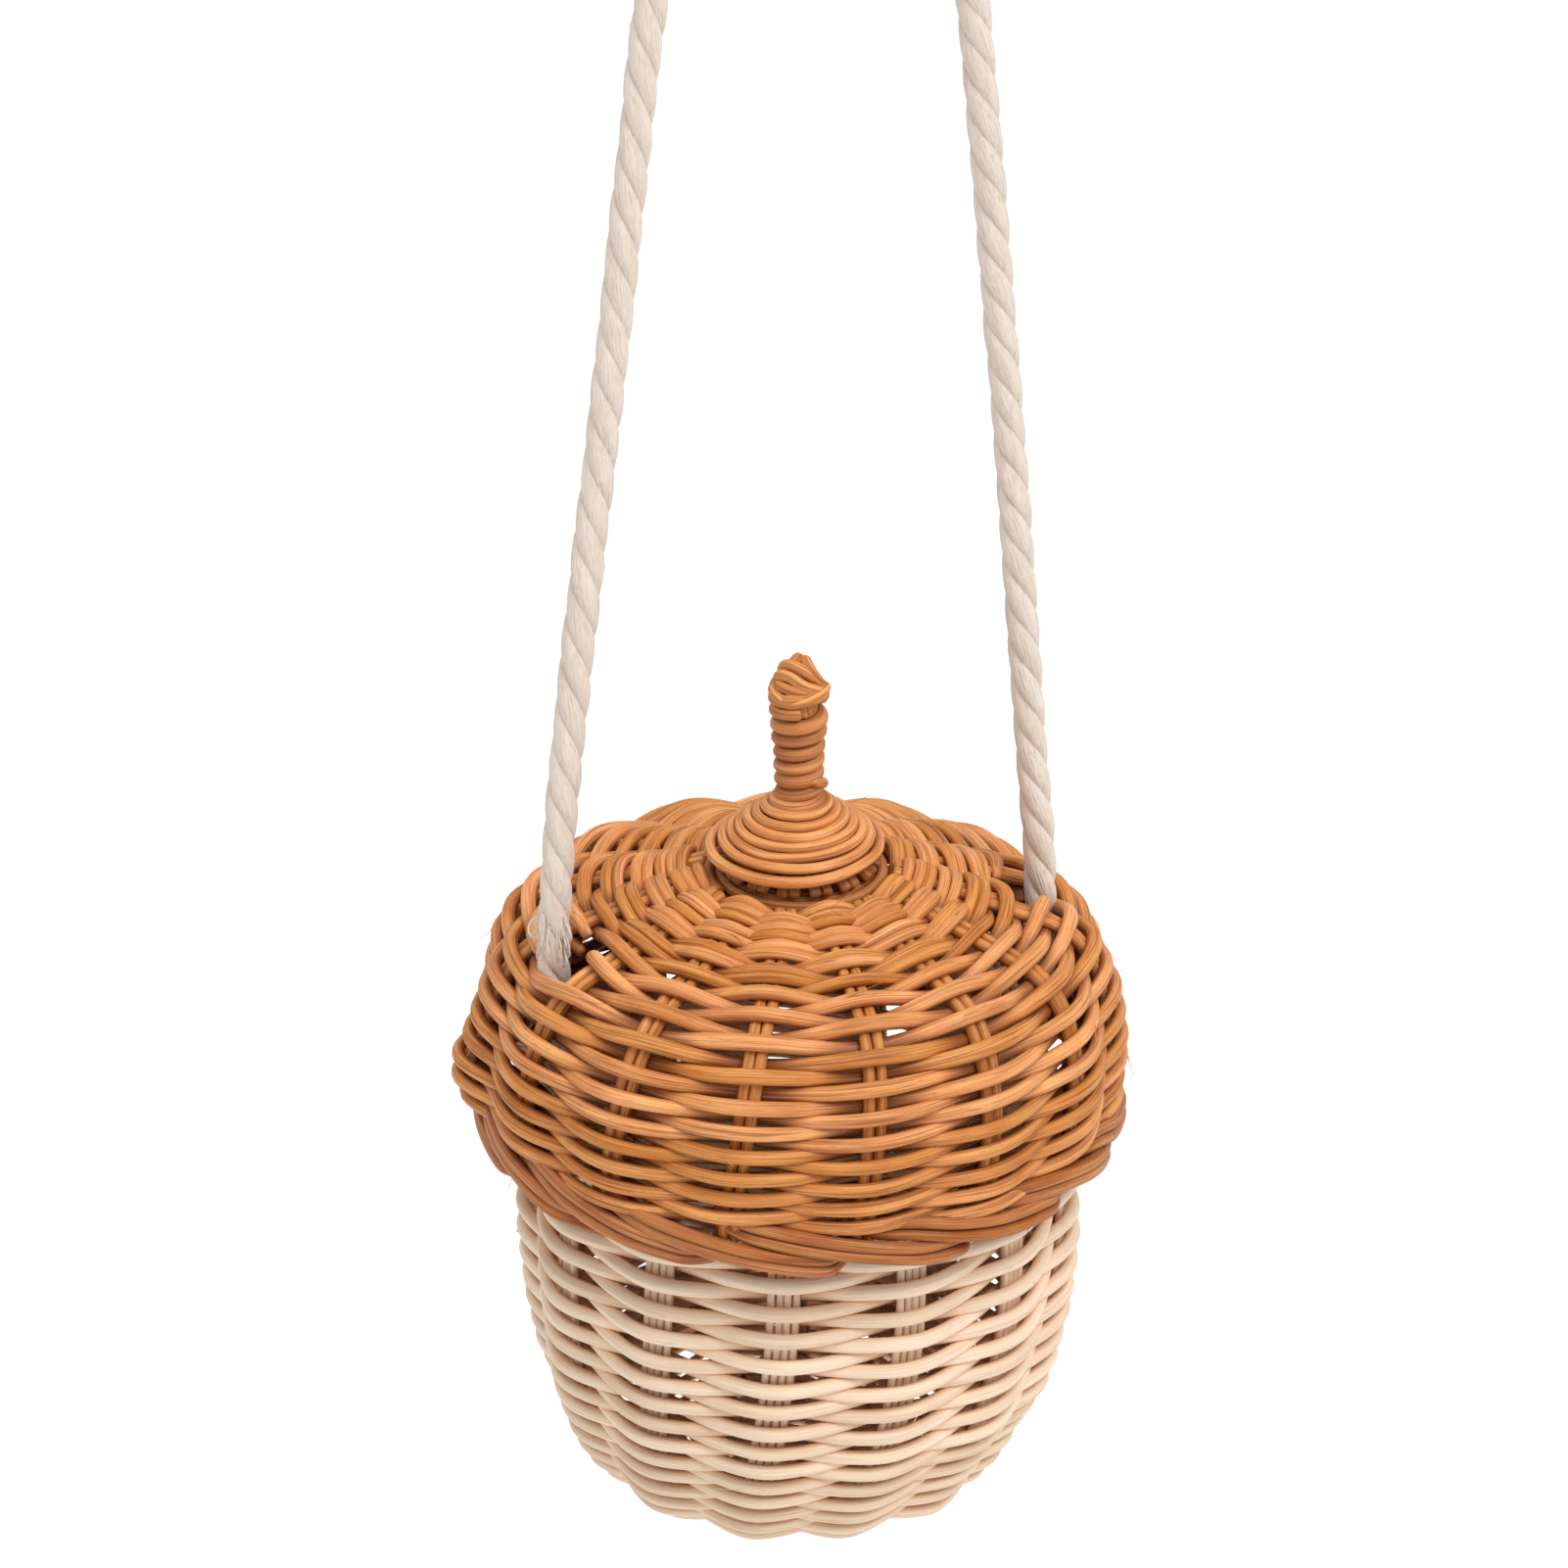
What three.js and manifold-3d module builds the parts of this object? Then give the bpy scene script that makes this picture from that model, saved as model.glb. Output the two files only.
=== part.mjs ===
// Acorn-shaped wicker basket: a pale woven bowl, a brown domed cap with a wound knob,
// and a rope strap that runs up through the cap. Millimetres, +Z up.
// Heights are written above the basket's base; the finished group is lowered so that
// its origin is the crest of the strap's loop, where the basket hangs.
import * as THREE from "three";
import { mergeVertices } from "three/addons/utils/BufferGeometryUtils.js";
import Module from "manifold-3d";

// Driving dimensions
const CANE = 3.2; // thickness of one weaving cane
const BOWL_STAKES = 13; // groups of upright canes, an odd number as plain weaving needs
const BOWL_STAKE_WIDTH = 7.8; // three canes side by side
const CAP_STAKES = 15;
const CAP_STAKE_WIDTH = 6.4; // two canes side by side
const CHANNEL_CLEARANCE = 0.35; // round a stake inside its weave
const SEAT_GAP = 0.3; // between pieces that touch
const STEPS_PER_STAKE = 4; // faces round a ring for each stake
const WEAVE_SKIN = 0.5; // left over a stake where a row passes behind it
const LINING_PITCH = 8; // from ring to ring of a wall's plainer inner face

const BASE_R = 45.5; // middle of the bowl's wall at the floor
const BASE_THICKNESS = 5;
const WALL_START_Z = 3;
const BELLY_R = 68;
const BELLY_Z = 80;
const BOWL_R = 67.1; // middle of the wall at the shoulder
const SHOULDER_Z = 97.3;
const COLLAR_R = 53.5; // the neck that the cap hides
const COLLAR_Z = 113;
const COLLAR_TOP_Z = 122.5;
const RIM_HEIGHT = 7.4;
const RIM_WIDTH = 9;
const BOWL_TWIST = 12.1; // degrees that the stakes lean between the floor and the shoulder
const BOWL_PHASE = -3; // azimuth of one stake at the shoulder
const COLLAR_TWIST = 5.85;
const BOWL_ROWS = 38; // turns of weaving from the floor to the collar's top
const PLAIN_Z = 90; // the rows above lie under the cap, without relief

// The cap's own heights are written above the lower edge of its woven wall.
const CAP_OVERHANG = 11.4; // from the bowl's wall out to the cap's, at their widest
const CAP_R = BOWL_R + CAP_OVERHANG;
const CAP_SIDE_H = 14;
const CAP_BEND_R = 61; // where the dome turns into its sloping top
const CAP_BEND_H = 49;
const CAP_SIDE_FULLNESS = 0.45; // how far the dome stays upright, of the rise to the bend
const CAP_TOP_FULLNESS = 0.74; // how far the sloping top stays straight, of the reach beyond the bend
const CAP_NECK_R = 28;
const CAP_NECK_H = 60.3;
const CAP_PHASE = -12.6; // azimuth of one stake at the cap's edge
const CAP_TWIST = 5.1;
const CAP_ROWS = 25;
const CAP_BORDER_INSET = 1.2; // from the cap's wall inwards
const CAP_BORDER_HEIGHT = 10.2;
const CAP_BORDER_WIDTH = 13.6;
const CAP_BORDER_LOBE = 0.9;
const CROWN_R = 24.4;
const CROWN_THICKNESS = 6.1;
const CROWN_RISE = 0.944; // of its upper face over the middle of the stakes that end on it

const WINDING_CANE = 2.15;
const WINDING_PITCH = 2.66; // from turn to turn along the surface
const SAUCER_R = 21.95; // centre line of the outermost turn
const SAUCER_RISE = 5.1; // of the outermost turn over the crown
const SAUCER_TURNS = 8;
const STEM_R = 4.8; // centre line of the turns round the stem
const STEM_TOP_R = 5.9;
const STEM_TURNS = 9;
const CONE_HEIGHT = 14.6; // from the outermost turn up to the stem's first
const TIP_R = 7.5;
const TIP_HEIGHT = 9.8;
const CORE_GAP = 0.35;
const CORE_FOOT_R = 7;
const CORE_FOOT_HEIGHT = 3;

const ROPE = 8.3;
const ROPE_SIDES = 8;
const ROPE_HOLE_CLEARANCE = 0.45;
const SLOT_CLEARANCE = 0.6;
const SLOT_RUN = 5.3; // room for the rope's lean while the cap slides up
const ROPE_BEND_R = 17;
const ROPE_BEND_Z = 127;
const ROPE_BEND_ANGLE = 72; // degrees from straight down
const ROPE_BEND_STEPS = 12;
const KNOT_STAND = 1.3; // from the collar's inner face to the stopper knot
const ROPE_JOINT_H = 52;
const KNOT_R = 8.6;
const KNOT_LENGTH = 15;
// Each leg drops past the bowl's rim with its own gap to it.
const dropRadius = (gap) => COLLAR_R + RIM_WIDTH / 2 + ROPE / 2 + gap;
const ROPE_SIDE = {
  left: { azimuth: -68.6, radius: dropRadius(3.35) },
  right: { azimuth: 102, radius: dropRadius(0.65) },
};
const HANG_Z = 450;
const STRAP_STEPS = 34;
const ROPE_END_STEPS = 16;

// The strap's centre line above the cap, from the left hole over the loop to the right hole
const STRAP_ROUTE = [
  [-60.3, -23.6, 176],
  [-58.4, -22.9, 200],
  [-55.8, -21.9, 225],
  [-53.0, -20.6, 250],
  [-50.0, -19.2, 275],
  [-47.0, -17.8, 300],
  [-44.1, -16.3, 325],
  [-41.4, -15.0, 350],
  [-38.6, -13.6, 375],
  [-35.9, -12.2, 398],
  [-32.9, -10.4, 416],
  [-27.0, -7.8, 431],
  [-15.8, -4.2, 444.5],
  [0, 0, 450],
  [17.5, 3.4, 446.6],
  [31.5, 5.9, 433.5],
  [38.5, 7.3, 417],
  [41.3, 8.1, 398],
  [43.6, 8.6, 375],
  [45.9, 9.2, 350],
  [48.1, 9.8, 325],
  [50.3, 10.4, 300],
  [52.4, 11.0, 275],
  [54.4, 11.6, 250],
  [56.3, 12.1, 225],
  [58.3, 12.5, 200],
  [60.4, 12.9, 176],
];

const wasm = await Module();
wasm.setup();

const radians = THREE.MathUtils.degToRad;

// Azimuths run from the front, which faces -Y, positive towards +X.
function around(radius, azimuth, z) {
  const a = radians(azimuth);
  return new THREE.Vector3(radius * Math.sin(a), -radius * Math.cos(a), z);
}

function toManifold(geometry) {
  const bare = geometry.clone();
  bare.deleteAttribute("normal");
  bare.deleteAttribute("uv");
  const merged = mergeVertices(bare, 1e-4);
  return new wasm.Manifold(
    new wasm.Mesh({
      numProp: 3,
      vertProperties: new Float32Array(merged.attributes.position.array),
      triVerts: new Uint32Array(merged.index.array),
    }),
  );
}

function toGeometry(manifold) {
  const mesh = manifold.getMesh();
  const geometry = new THREE.BufferGeometry();
  geometry.setAttribute("position", new THREE.BufferAttribute(new Float32Array(mesh.vertProperties), 3));
  geometry.setIndex(new THREE.BufferAttribute(new Uint32Array(mesh.triVerts), 1));
  geometry.computeVertexNormals();
  return geometry;
}

function cut(geometry, tools) {
  let solid = toManifold(geometry);
  for (const tool of tools) solid = solid.subtract(toManifold(tool));
  return toGeometry(solid);
}

function indexed(points, index) {
  const geometry = new THREE.BufferGeometry();
  const positions = points.flatMap((p) => [p.x, p.y, p.z]);
  geometry.setAttribute("position", new THREE.Float32BufferAttribute(positions, 3));
  geometry.setIndex(index);
  geometry.computeVertexNormals();
  return geometry;
}

// Joins rings of equally many points into one closed solid, with flat fans on both ends.
// With wrap the last ring joins the first and there are no ends.
function loft(rings, wrap = false) {
  const sides = rings[0].length;
  const index = [];
  const joined = wrap ? rings.length : rings.length - 1;
  for (let i = 0; i < joined; i += 1) {
    const below = i * sides;
    const above = ((i + 1) % rings.length) * sides;
    for (let j = 0; j < sides; j += 1) {
      const k = (j + 1) % sides;
      index.push(below + j, below + k, above + k, below + j, above + k, above + j);
    }
  }
  if (!wrap) {
    const top = (rings.length - 1) * sides;
    for (let j = 1; j < sides - 1; j += 1) {
      index.push(0, j + 1, j);
      index.push(top, top + j, top + j + 1);
    }
  }
  return indexed(rings.flat(), index);
}

// Rows of a wall's middle surface: each has its point (radius, height) and the outward normal there.
function profileRows(curves) {
  const rows = [];
  for (const { curve, steps } of curves) {
    for (let i = rows.length ? 1 : 0; i <= steps; i += 1) {
      const t = i / steps;
      const point = curve.getPoint(t);
      const tangent = curve.getTangent(t);
      rows.push({ point, normal: new THREE.Vector2(tangent.y, -tangent.x) });
    }
  }
  return rows;
}

// Length along a wall from its first row to each of them
function lengthsAlong(rows) {
  const marks = [0];
  for (let i = 1; i < rows.length; i += 1) marks.push(marks[i - 1] + rows[i].point.distanceTo(rows[i - 1].point));
  return marks;
}

// The row that lies a share of the way from the first to the last, by length
function rowAt(rows, share) {
  const marks = lengthsAlong(rows);
  const length = share * marks.at(-1);
  const next = marks.findIndex((mark, i) => i > 0 && (mark >= length || i === marks.length - 1));
  const t = (length - marks[next - 1]) / (marks[next] - marks[next - 1]);
  return {
    point: rows[next - 1].point.clone().lerp(rows[next].point, t),
    normal: rows[next - 1].normal.clone().lerp(rows[next].normal, t).normalize(),
  };
}

const v2 = (x, y) => new THREE.Vector2(x, y);

const bowlRows = profileRows([
  {
    curve: new THREE.EllipseCurve(BASE_R, BELLY_Z, BELLY_R - BASE_R, BELLY_Z - WALL_START_Z, -Math.PI / 2, 0),
    steps: 5,
  },
  { curve: new THREE.LineCurve(v2(BELLY_R, BELLY_Z), v2(BOWL_R, SHOULDER_Z)), steps: 1 },
  {
    curve: new THREE.CubicBezierCurve(
      v2(BOWL_R, SHOULDER_Z),
      v2(BOWL_R, SHOULDER_Z + 0.65 * (COLLAR_Z - SHOULDER_Z)),
      v2(COLLAR_R, COLLAR_Z - 0.76 * (COLLAR_Z - SHOULDER_Z)),
      v2(COLLAR_R, COLLAR_Z),
    ),
    steps: 3,
  },
  { curve: new THREE.LineCurve(v2(COLLAR_R, COLLAR_Z), v2(COLLAR_R, COLLAR_TOP_Z)), steps: 1 },
]);

const capSlope = v2(CAP_BEND_R - CAP_NECK_R, CAP_BEND_H - CAP_NECK_H).normalize();
const capRows = profileRows([
  { curve: new THREE.LineCurve(v2(CAP_R, 0), v2(CAP_R, CAP_SIDE_H)), steps: 1 },
  {
    curve: new THREE.CubicBezierCurve(
      v2(CAP_R, CAP_SIDE_H),
      v2(CAP_R, CAP_SIDE_H + CAP_SIDE_FULLNESS * (CAP_BEND_H - CAP_SIDE_H)),
      v2(CAP_BEND_R, CAP_BEND_H).addScaledVector(capSlope, CAP_TOP_FULLNESS * (CAP_R - CAP_BEND_R)),
      v2(CAP_BEND_R, CAP_BEND_H),
    ),
    steps: 4,
  },
  { curve: new THREE.LineCurve(v2(CAP_BEND_R, CAP_BEND_H), v2(CAP_NECK_R, CAP_NECK_H)), steps: 1 },
]);
const crownTopH = CAP_NECK_H - ((CAP_NECK_R - CROWN_R) * capSlope.y) / capSlope.x + CROWN_RISE;

// The cap comes down until the inner foot of its border meets the stakes that stand
// proudest on the bowl's shoulder.
const BORDER_SIDES = 6;
const footAngle = Math.PI / BORDER_SIDES;
const capBorderR = CAP_R - CAP_BORDER_INSET;
const borderFootR = capBorderR - (CAP_BORDER_WIDTH / 2) * Math.cos(footAngle);
const borderFootDrop = SEAT_GAP + (CAP_BORDER_HEIGHT / 2) * (1 + Math.sin(footAngle));

function shoulderHeightAt(radius) {
  const samples = 4 * BOWL_ROWS;
  const face = Array.from({ length: samples + 1 }, (_, i) => {
    const { point, normal } = rowAt(bowlRows, i / samples);
    return point.addScaledVector(normal, 1.5 * CANE);
  });
  const above = face.findIndex((p) => p.y > SHOULDER_Z && p.x < radius);
  const [high, low] = [face[above], face[above - 1]];
  return low.y + ((high.y - low.y) * (low.x - radius)) / (low.x - high.x);
}

const capEdgeZ = shoulderHeightAt(borderFootR) + 2 * SEAT_GAP + borderFootDrop;

function bowlPhase(z) {
  const lower = Math.max(0, 1 - z / SHOULDER_Z) ** 2.2;
  const upper = THREE.MathUtils.smoothstep(z, SHOULDER_Z, COLLAR_Z);
  return BOWL_PHASE - BOWL_TWIST * lower + COLLAR_TWIST * upper;
}

function capPhase(h) {
  return CAP_PHASE + CAP_TWIST * THREE.MathUtils.clamp(h / CAP_NECK_H, 0, 1);
}

// A woven wall: three canes thick where a row passes in front of a stake, one cane thick
// between the stakes. Taut canes run straight from stake to stake, in front of one and behind
// the next, and rise by one row in a turn, so an odd number of stakes sets each row against the
// one below it. Behind a stake the face falls back to a skin over the stake's channel.
// The points are a level ring along the lower edge, the rows as one spiral, a level ring along
// the upper edge, and level rings back down the inner face.
function wovenWall({ rows, stakes, phase, turns, channel, plainZ = Infinity }) {
  const steps = 2 * stakes;
  const between = Math.PI / stakes;
  const [crest, valley] = [1.5 * CANE, 0.5 * CANE];
  const place = ({ point, normal }, k, off) =>
    around(point.x + off * normal.x, phase(point.y) + (360 * k) / steps, point.y + off * normal.y);
  const ring = (share, side) =>
    Array.from({ length: steps }, (_, j) => place(rowAt(rows, share), j, side * (j % 2 ? valley : crest)));

  // Seen square to a stake, a face that runs straight to the valley beside it
  const behind = ({ point, normal }) => {
    const radius = point.x + valley * normal.x;
    const fall = valley - radius * (1 - Math.cos(between)) * normal.x;
    const share = channel.width / 2 / (radius * Math.sin(between));
    return Math.min(crest, (channel.thickness / 2 + WEAVE_SKIN - fall * share) / (1 - share));
  };
  const spiral = Array.from({ length: turns * steps }, (_, k) => {
    const row = rowAt(rows, (k / steps + 0.5) / (turns + 1));
    const stake = row.point.y > plainZ || k % 4 === 0 ? crest : behind(row);
    return place(row, k, k % 2 ? valley : stake);
  });
  const outer = [...ring(0, 1), ...spiral, ...ring(1, 1)];
  const linings = Math.round(lengthsAlong(rows).at(-1) / LINING_PITCH);
  const inner = Array.from({ length: linings + 1 }, (_, i) => ring(1 - i / linings, -1)).flat();
  const points = [...outer, ...inner];

  const index = [];
  const join = (a, b, c, d) => index.push(a, b, c, a, c, d);
  const top = outer.length - steps;
  for (let k = 0; k < top - 1; k += 1) join(k, k + 1, k + steps + 1, k + steps);
  // One more triangle where the first row starts and one where the last row ends
  index.push(steps - 1, 0, steps, top - 1, top, outer.length - 1);
  for (let from = top; from < points.length; from += steps) {
    const to = (from + steps) % points.length;
    for (let j = 0; j < steps; j += 1) {
      const k = (j + 1) % steps;
      join(from + j, from + k, to + k, to + j);
    }
  }
  return indexed(points, index);
}

// Room for a stake inside its weave
const channelOf = (stakeWidth) => ({
  width: stakeWidth + 2 * CHANNEL_CLEARANCE,
  thickness: CANE + 2 * CHANNEL_CLEARANCE,
});

// A flat bundle of canes laid along a wall's rows, square in section.
function stakeBundle(rows, azimuthAt, width, thickness) {
  return loft(
    rows.map(({ point, normal }) => {
      const azimuth = azimuthAt(point.y);
      const centre = around(point.x, azimuth, point.y);
      const sideways = new THREE.Vector3(Math.cos(radians(azimuth)), Math.sin(radians(azimuth)), 0);
      const outward = around(normal.x, azimuth, normal.y);
      return [
        [-1, -1],
        [-1, 1],
        [1, 1],
        [1, -1],
      ].map(([s, o]) =>
        centre
          .clone()
          .addScaledVector(sideways, (s * width) / 2)
          .addScaledVector(outward, (o * thickness) / 2),
      );
    }),
  );
}

// The same rows made longer at both ends, along the wall.
function extended(rows, below, above) {
  const beyond = (row, next, distance) => {
    const step = row.point.clone().sub(next.point).setLength(distance);
    return { point: row.point.clone().add(step), normal: row.normal };
  };
  const first = beyond(rows[0], rows[1], below);
  const last = beyond(rows.at(-1), rows.at(-2), above);
  return [...(below ? [first] : []), ...rows, ...(above ? [last] : [])];
}

function stakeRing(rows, count, phase, width, thickness) {
  return Array.from({ length: count }, (_, k) =>
    stakeBundle(rows, (z) => phase(z) + (360 * k) / count, width, thickness),
  );
}

// A ring of oval section; lobes swell it outwards over each stake.
function borderRing(radius, z, width, height, steps, phase, lobes = 0, lobe = 0) {
  const rings = Array.from({ length: steps }, (_, j) => {
    const turn = (360 * j) / steps;
    const swell = lobes ? lobe * Math.cos(radians(lobes * turn)) : 0;
    return Array.from({ length: BORDER_SIDES }, (_unused, k) => {
      const a = (2 * k + 1) * footAngle;
      const out = (width / 2) * Math.cos(a) + swell * Math.max(0, Math.cos(a));
      return around(radius + out, phase + turn, z + (height / 2) * Math.sin(a));
    });
  });
  return loft(rings.reverse(), true);
}

function lathe(points, segments, phase = 0) {
  const geometry = new THREE.LatheGeometry(
    points.map(([r, z]) => v2(r, z)),
    segments,
  );
  geometry.rotateX(Math.PI / 2);
  geometry.rotateZ(radians(phase));
  return geometry;
}

// A rope tube along a curve
function ropeTube(curve, diameter, steps) {
  const section = new THREE.Shape(
    Array.from({ length: ROPE_SIDES }, (_, k) => {
      const a = (2 * Math.PI * k) / ROPE_SIDES;
      return v2((diameter / 2) * Math.cos(a), (diameter / 2) * Math.sin(a));
    }),
  );
  return new THREE.ExtrudeGeometry(section, { extrudePath: curve, steps });
}

// Below the cap the rope drops straight, then bends inwards through the collar.
const ropeJointZ = capEdgeZ + ROPE_JOINT_H;

function ropeEndCurve({ azimuth, radius }, topZ, beyond = 0) {
  const bend = radians(ROPE_BEND_ANGLE);
  const at = (r, z) => around(r, azimuth, z);
  const arc = (t) => [
    radius - ROPE_BEND_R * (1 - Math.cos(bend * t)),
    ROPE_BEND_Z - ROPE_BEND_R * Math.sin(bend * t),
  ];
  const [endR, endZ] = arc(1);
  const tail = (endR - (COLLAR_R - CANE / 2 - KNOT_STAND)) / Math.sin(bend) + beyond;
  const path = new THREE.CurvePath();
  path.add(new THREE.LineCurve3(at(radius, topZ), at(radius, ROPE_BEND_Z)));
  const arcPoints = Array.from({ length: ROPE_BEND_STEPS + 1 }, (_, i) => at(...arc(i / ROPE_BEND_STEPS)));
  path.add(new THREE.CatmullRomCurve3(arcPoints));
  path.add(
    new THREE.LineCurve3(
      at(endR, endZ),
      at(endR - tail * Math.sin(bend), endZ - tail * Math.cos(bend)),
    ),
  );
  return path;
}

function ropeEnd(side, diameter) {
  return ropeTube(ropeEndCurve(side, ropeJointZ - SEAT_GAP / 2), diameter, ROPE_END_STEPS);
}

// A slot through the cap's top: the rope's width, and longer inwards for its lean
function ropeSlot({ azimuth, radius }) {
  const half = ROPE / 2 + SLOT_CLEARANCE;
  const shape = new THREE.Shape();
  shape.absarc(0, radius, half, 0, Math.PI, false);
  shape.absarc(0, radius - SLOT_RUN, half, Math.PI, 2 * Math.PI, false);
  shape.closePath();
  const slot = new THREE.ExtrudeGeometry(shape, {
    depth: crownTopH - CAP_SIDE_H,
    bevelEnabled: false,
    curveSegments: 6,
  });
  slot.translate(0, 0, CAP_SIDE_H + CANE);
  slot.rotateZ(radians(180 + azimuth));
  return slot;
}

function stopperKnot(side) {
  const knot = lathe(
    [
      [0, 0],
      [0.62 * KNOT_R, 0],
      [0.95 * KNOT_R, 0.16 * KNOT_LENGTH],
      [KNOT_R, 0.42 * KNOT_LENGTH],
      [0.82 * KNOT_R, 0.72 * KNOT_LENGTH],
      [0.5 * KNOT_R, KNOT_LENGTH],
      [0, KNOT_LENGTH],
    ],
    12,
  );
  const end = ropeEndCurve(side, ropeJointZ, SEAT_GAP);
  const along = end.getTangent(1);
  knot.applyQuaternion(new THREE.Quaternion().setFromUnitVectors(new THREE.Vector3(0, 0, 1), along));
  const place = end.getPoint(1);
  knot.translate(place.x, place.y, place.z);
  return knot;
}

// The knob's winding: one cane that starts under the tip, winds down the stem and out over
// the cone to the saucer's edge, and tucks down onto the crown. Both ends leave on a short
// bend and run straight for one cane's thickness.
const STEM_STEPS = 16;
const SAUCER_STEPS = 24;
const saucerH = crownTopH + SAUCER_RISE;
const stemBaseH = saucerH + CONE_HEIGHT;
const stemTopH = stemBaseH + STEM_TURNS * WINDING_PITCH;
const windingBend = 1.15 * WINDING_CANE;
const tipH = stemTopH + windingBend + WINDING_CANE + SEAT_GAP;

function windingPath() {
  const points = [];
  const stem = STEM_TURNS * STEM_STEPS;
  for (let i = 0; i <= stem; i += 1) {
    const t = i / stem;
    const flare = THREE.MathUtils.smoothstep(1 - t, 0.55, 1);
    const radius = STEM_R + (STEM_TOP_R - STEM_R) * flare;
    points.push(around(radius, (-360 * i) / STEM_STEPS, stemTopH - t * (stemTopH - stemBaseH)));
  }
  const saucer = SAUCER_TURNS * SAUCER_STEPS;
  for (let i = 1; i <= saucer; i += 1) {
    const t = i / saucer;
    const radius = STEM_R + (SAUCER_R - STEM_R) * t;
    points.push(around(radius, (-360 * i) / SAUCER_STEPS, stemBaseH - t * (stemBaseH - saucerH)));
  }
  const turned = (from, before, up) => {
    const run = from.clone().sub(before).setZ(0).normalize();
    const lift = new THREE.Vector3(0, 0, up);
    const bend = [30, 60, 90].map((degrees) =>
      from
        .clone()
        .addScaledVector(run, windingBend * Math.sin(radians(degrees)))
        .addScaledVector(lift, windingBend * (1 - Math.cos(radians(degrees)))),
    );
    return [...bend, bend[2].clone().addScaledVector(lift, WINDING_CANE)];
  };
  const head = turned(points[0], points[1], 1).reverse();
  const tail = turned(points.at(-1), points.at(-2), -1);
  return [...head, ...points, ...tail];
}

// A six-sided tube through the points; each section is the last one turned with the path.
function wireTube(points, diameter) {
  const sides = 6;
  const tangents = points.map((p, i) => {
    const before = points[Math.max(0, i - 1)];
    const after = points[Math.min(points.length - 1, i + 1)];
    return after.clone().sub(before).normalize();
  });
  const normal = new THREE.Vector3(1, 0, 0).cross(tangents[0]).normalize();
  const rings = points.map((p, i) => {
    if (i > 0) {
      normal.applyQuaternion(new THREE.Quaternion().setFromUnitVectors(tangents[i - 1], tangents[i]));
    }
    const other = tangents[i].clone().cross(normal);
    return Array.from({ length: sides }, (_, k) => {
      const a = (2 * Math.PI * k) / sides;
      return p
        .clone()
        .addScaledVector(normal, (diameter / 2) * Math.cos(a))
        .addScaledVector(other, (diameter / 2) * Math.sin(a));
    });
  });
  return { geometry: loft(rings), rings };
}

// Least distance between surface points of turns that lie apart along the tube
function leastGap(rings, apart) {
  let least = Infinity;
  for (let i = 0; i < rings.length; i += 1) {
    for (let j = i + apart; j < rings.length; j += 1) {
      if (rings[i][0].distanceTo(rings[j][0]) > 4 * WINDING_CANE) continue;
      for (const a of rings[i]) {
        for (const b of rings[j]) least = Math.min(least, a.distanceTo(b));
      }
    }
  }
  return least;
}

const winding = wireTube(windingPath(), WINDING_CANE);
console.log(`knob winding: least gap to itself ${leastGap(winding.rings, 8).toFixed(2)} mm`);

// Finishes
const finish = (color, roughness) => new THREE.MeshStandardMaterial({ color, roughness, metalness: 0 });
const paleCane = finish(0xe8d3b4, 0.62);
const brownCane = finish(0xb8763a, 0.55);
const cotton = finish(0xd9ccbc, 0.9);

const bowl = new THREE.Group();
const cap = new THREE.Group();
const strap = new THREE.Group();

function add(group, name, geometry, material) {
  const mesh = new THREE.Mesh(geometry, material);
  mesh.name = name;
  group.add(mesh);
}

const two = (k) => String(k + 1).padStart(2, "0");

// Bowl
function buildBowl() {
  const channel = channelOf(BOWL_STAKE_WIDTH);
  const channelRows = extended(bowlRows, CANE, CANE);
  const channels = stakeRing(channelRows, BOWL_STAKES, bowlPhase, channel.width, channel.thickness);
  const underFloor = new THREE.BoxGeometry(4 * BOWL_R, 4 * BOWL_R, BELLY_Z);
  underFloor.translate(0, 0, -BELLY_Z / 2);
  const holes = Object.values(ROPE_SIDE).map((side) => ropeEnd(side, ROPE + 2 * ROPE_HOLE_CLEARANCE));
  const wall = wovenWall({
    rows: bowlRows,
    stakes: BOWL_STAKES,
    phase: bowlPhase,
    turns: BOWL_ROWS,
    channel,
    plainZ: PLAIN_Z,
  });
  add(bowl, "bowl_weave", cut(wall, [...channels, underFloor, ...holes]), paleCane);

  stakeRing(bowlRows, BOWL_STAKES, bowlPhase, BOWL_STAKE_WIDTH, CANE).forEach((stake, k) => {
    add(bowl, `bowl_stake_${two(k)}`, cut(stake, [underFloor]), paleCane);
  });

  const floorR = BASE_R - SEAT_GAP;
  const floor = [
    [0, 0],
    [floorR, 0],
    [floorR, BASE_THICKNESS],
    [0, BASE_THICKNESS],
  ];
  add(bowl, "bowl_base", lathe(floor, 2 * BOWL_STAKES, bowlPhase(WALL_START_Z)), paleCane);

  const steps = BOWL_STAKES * STEPS_PER_STAKE;
  const rimZ = COLLAR_TOP_Z + SEAT_GAP + RIM_HEIGHT / 2;
  const rim = borderRing(COLLAR_R, rimZ, RIM_WIDTH, RIM_HEIGHT, steps, bowlPhase(COLLAR_TOP_Z));
  add(bowl, "bowl_rim", rim, paleCane);
}

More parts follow.
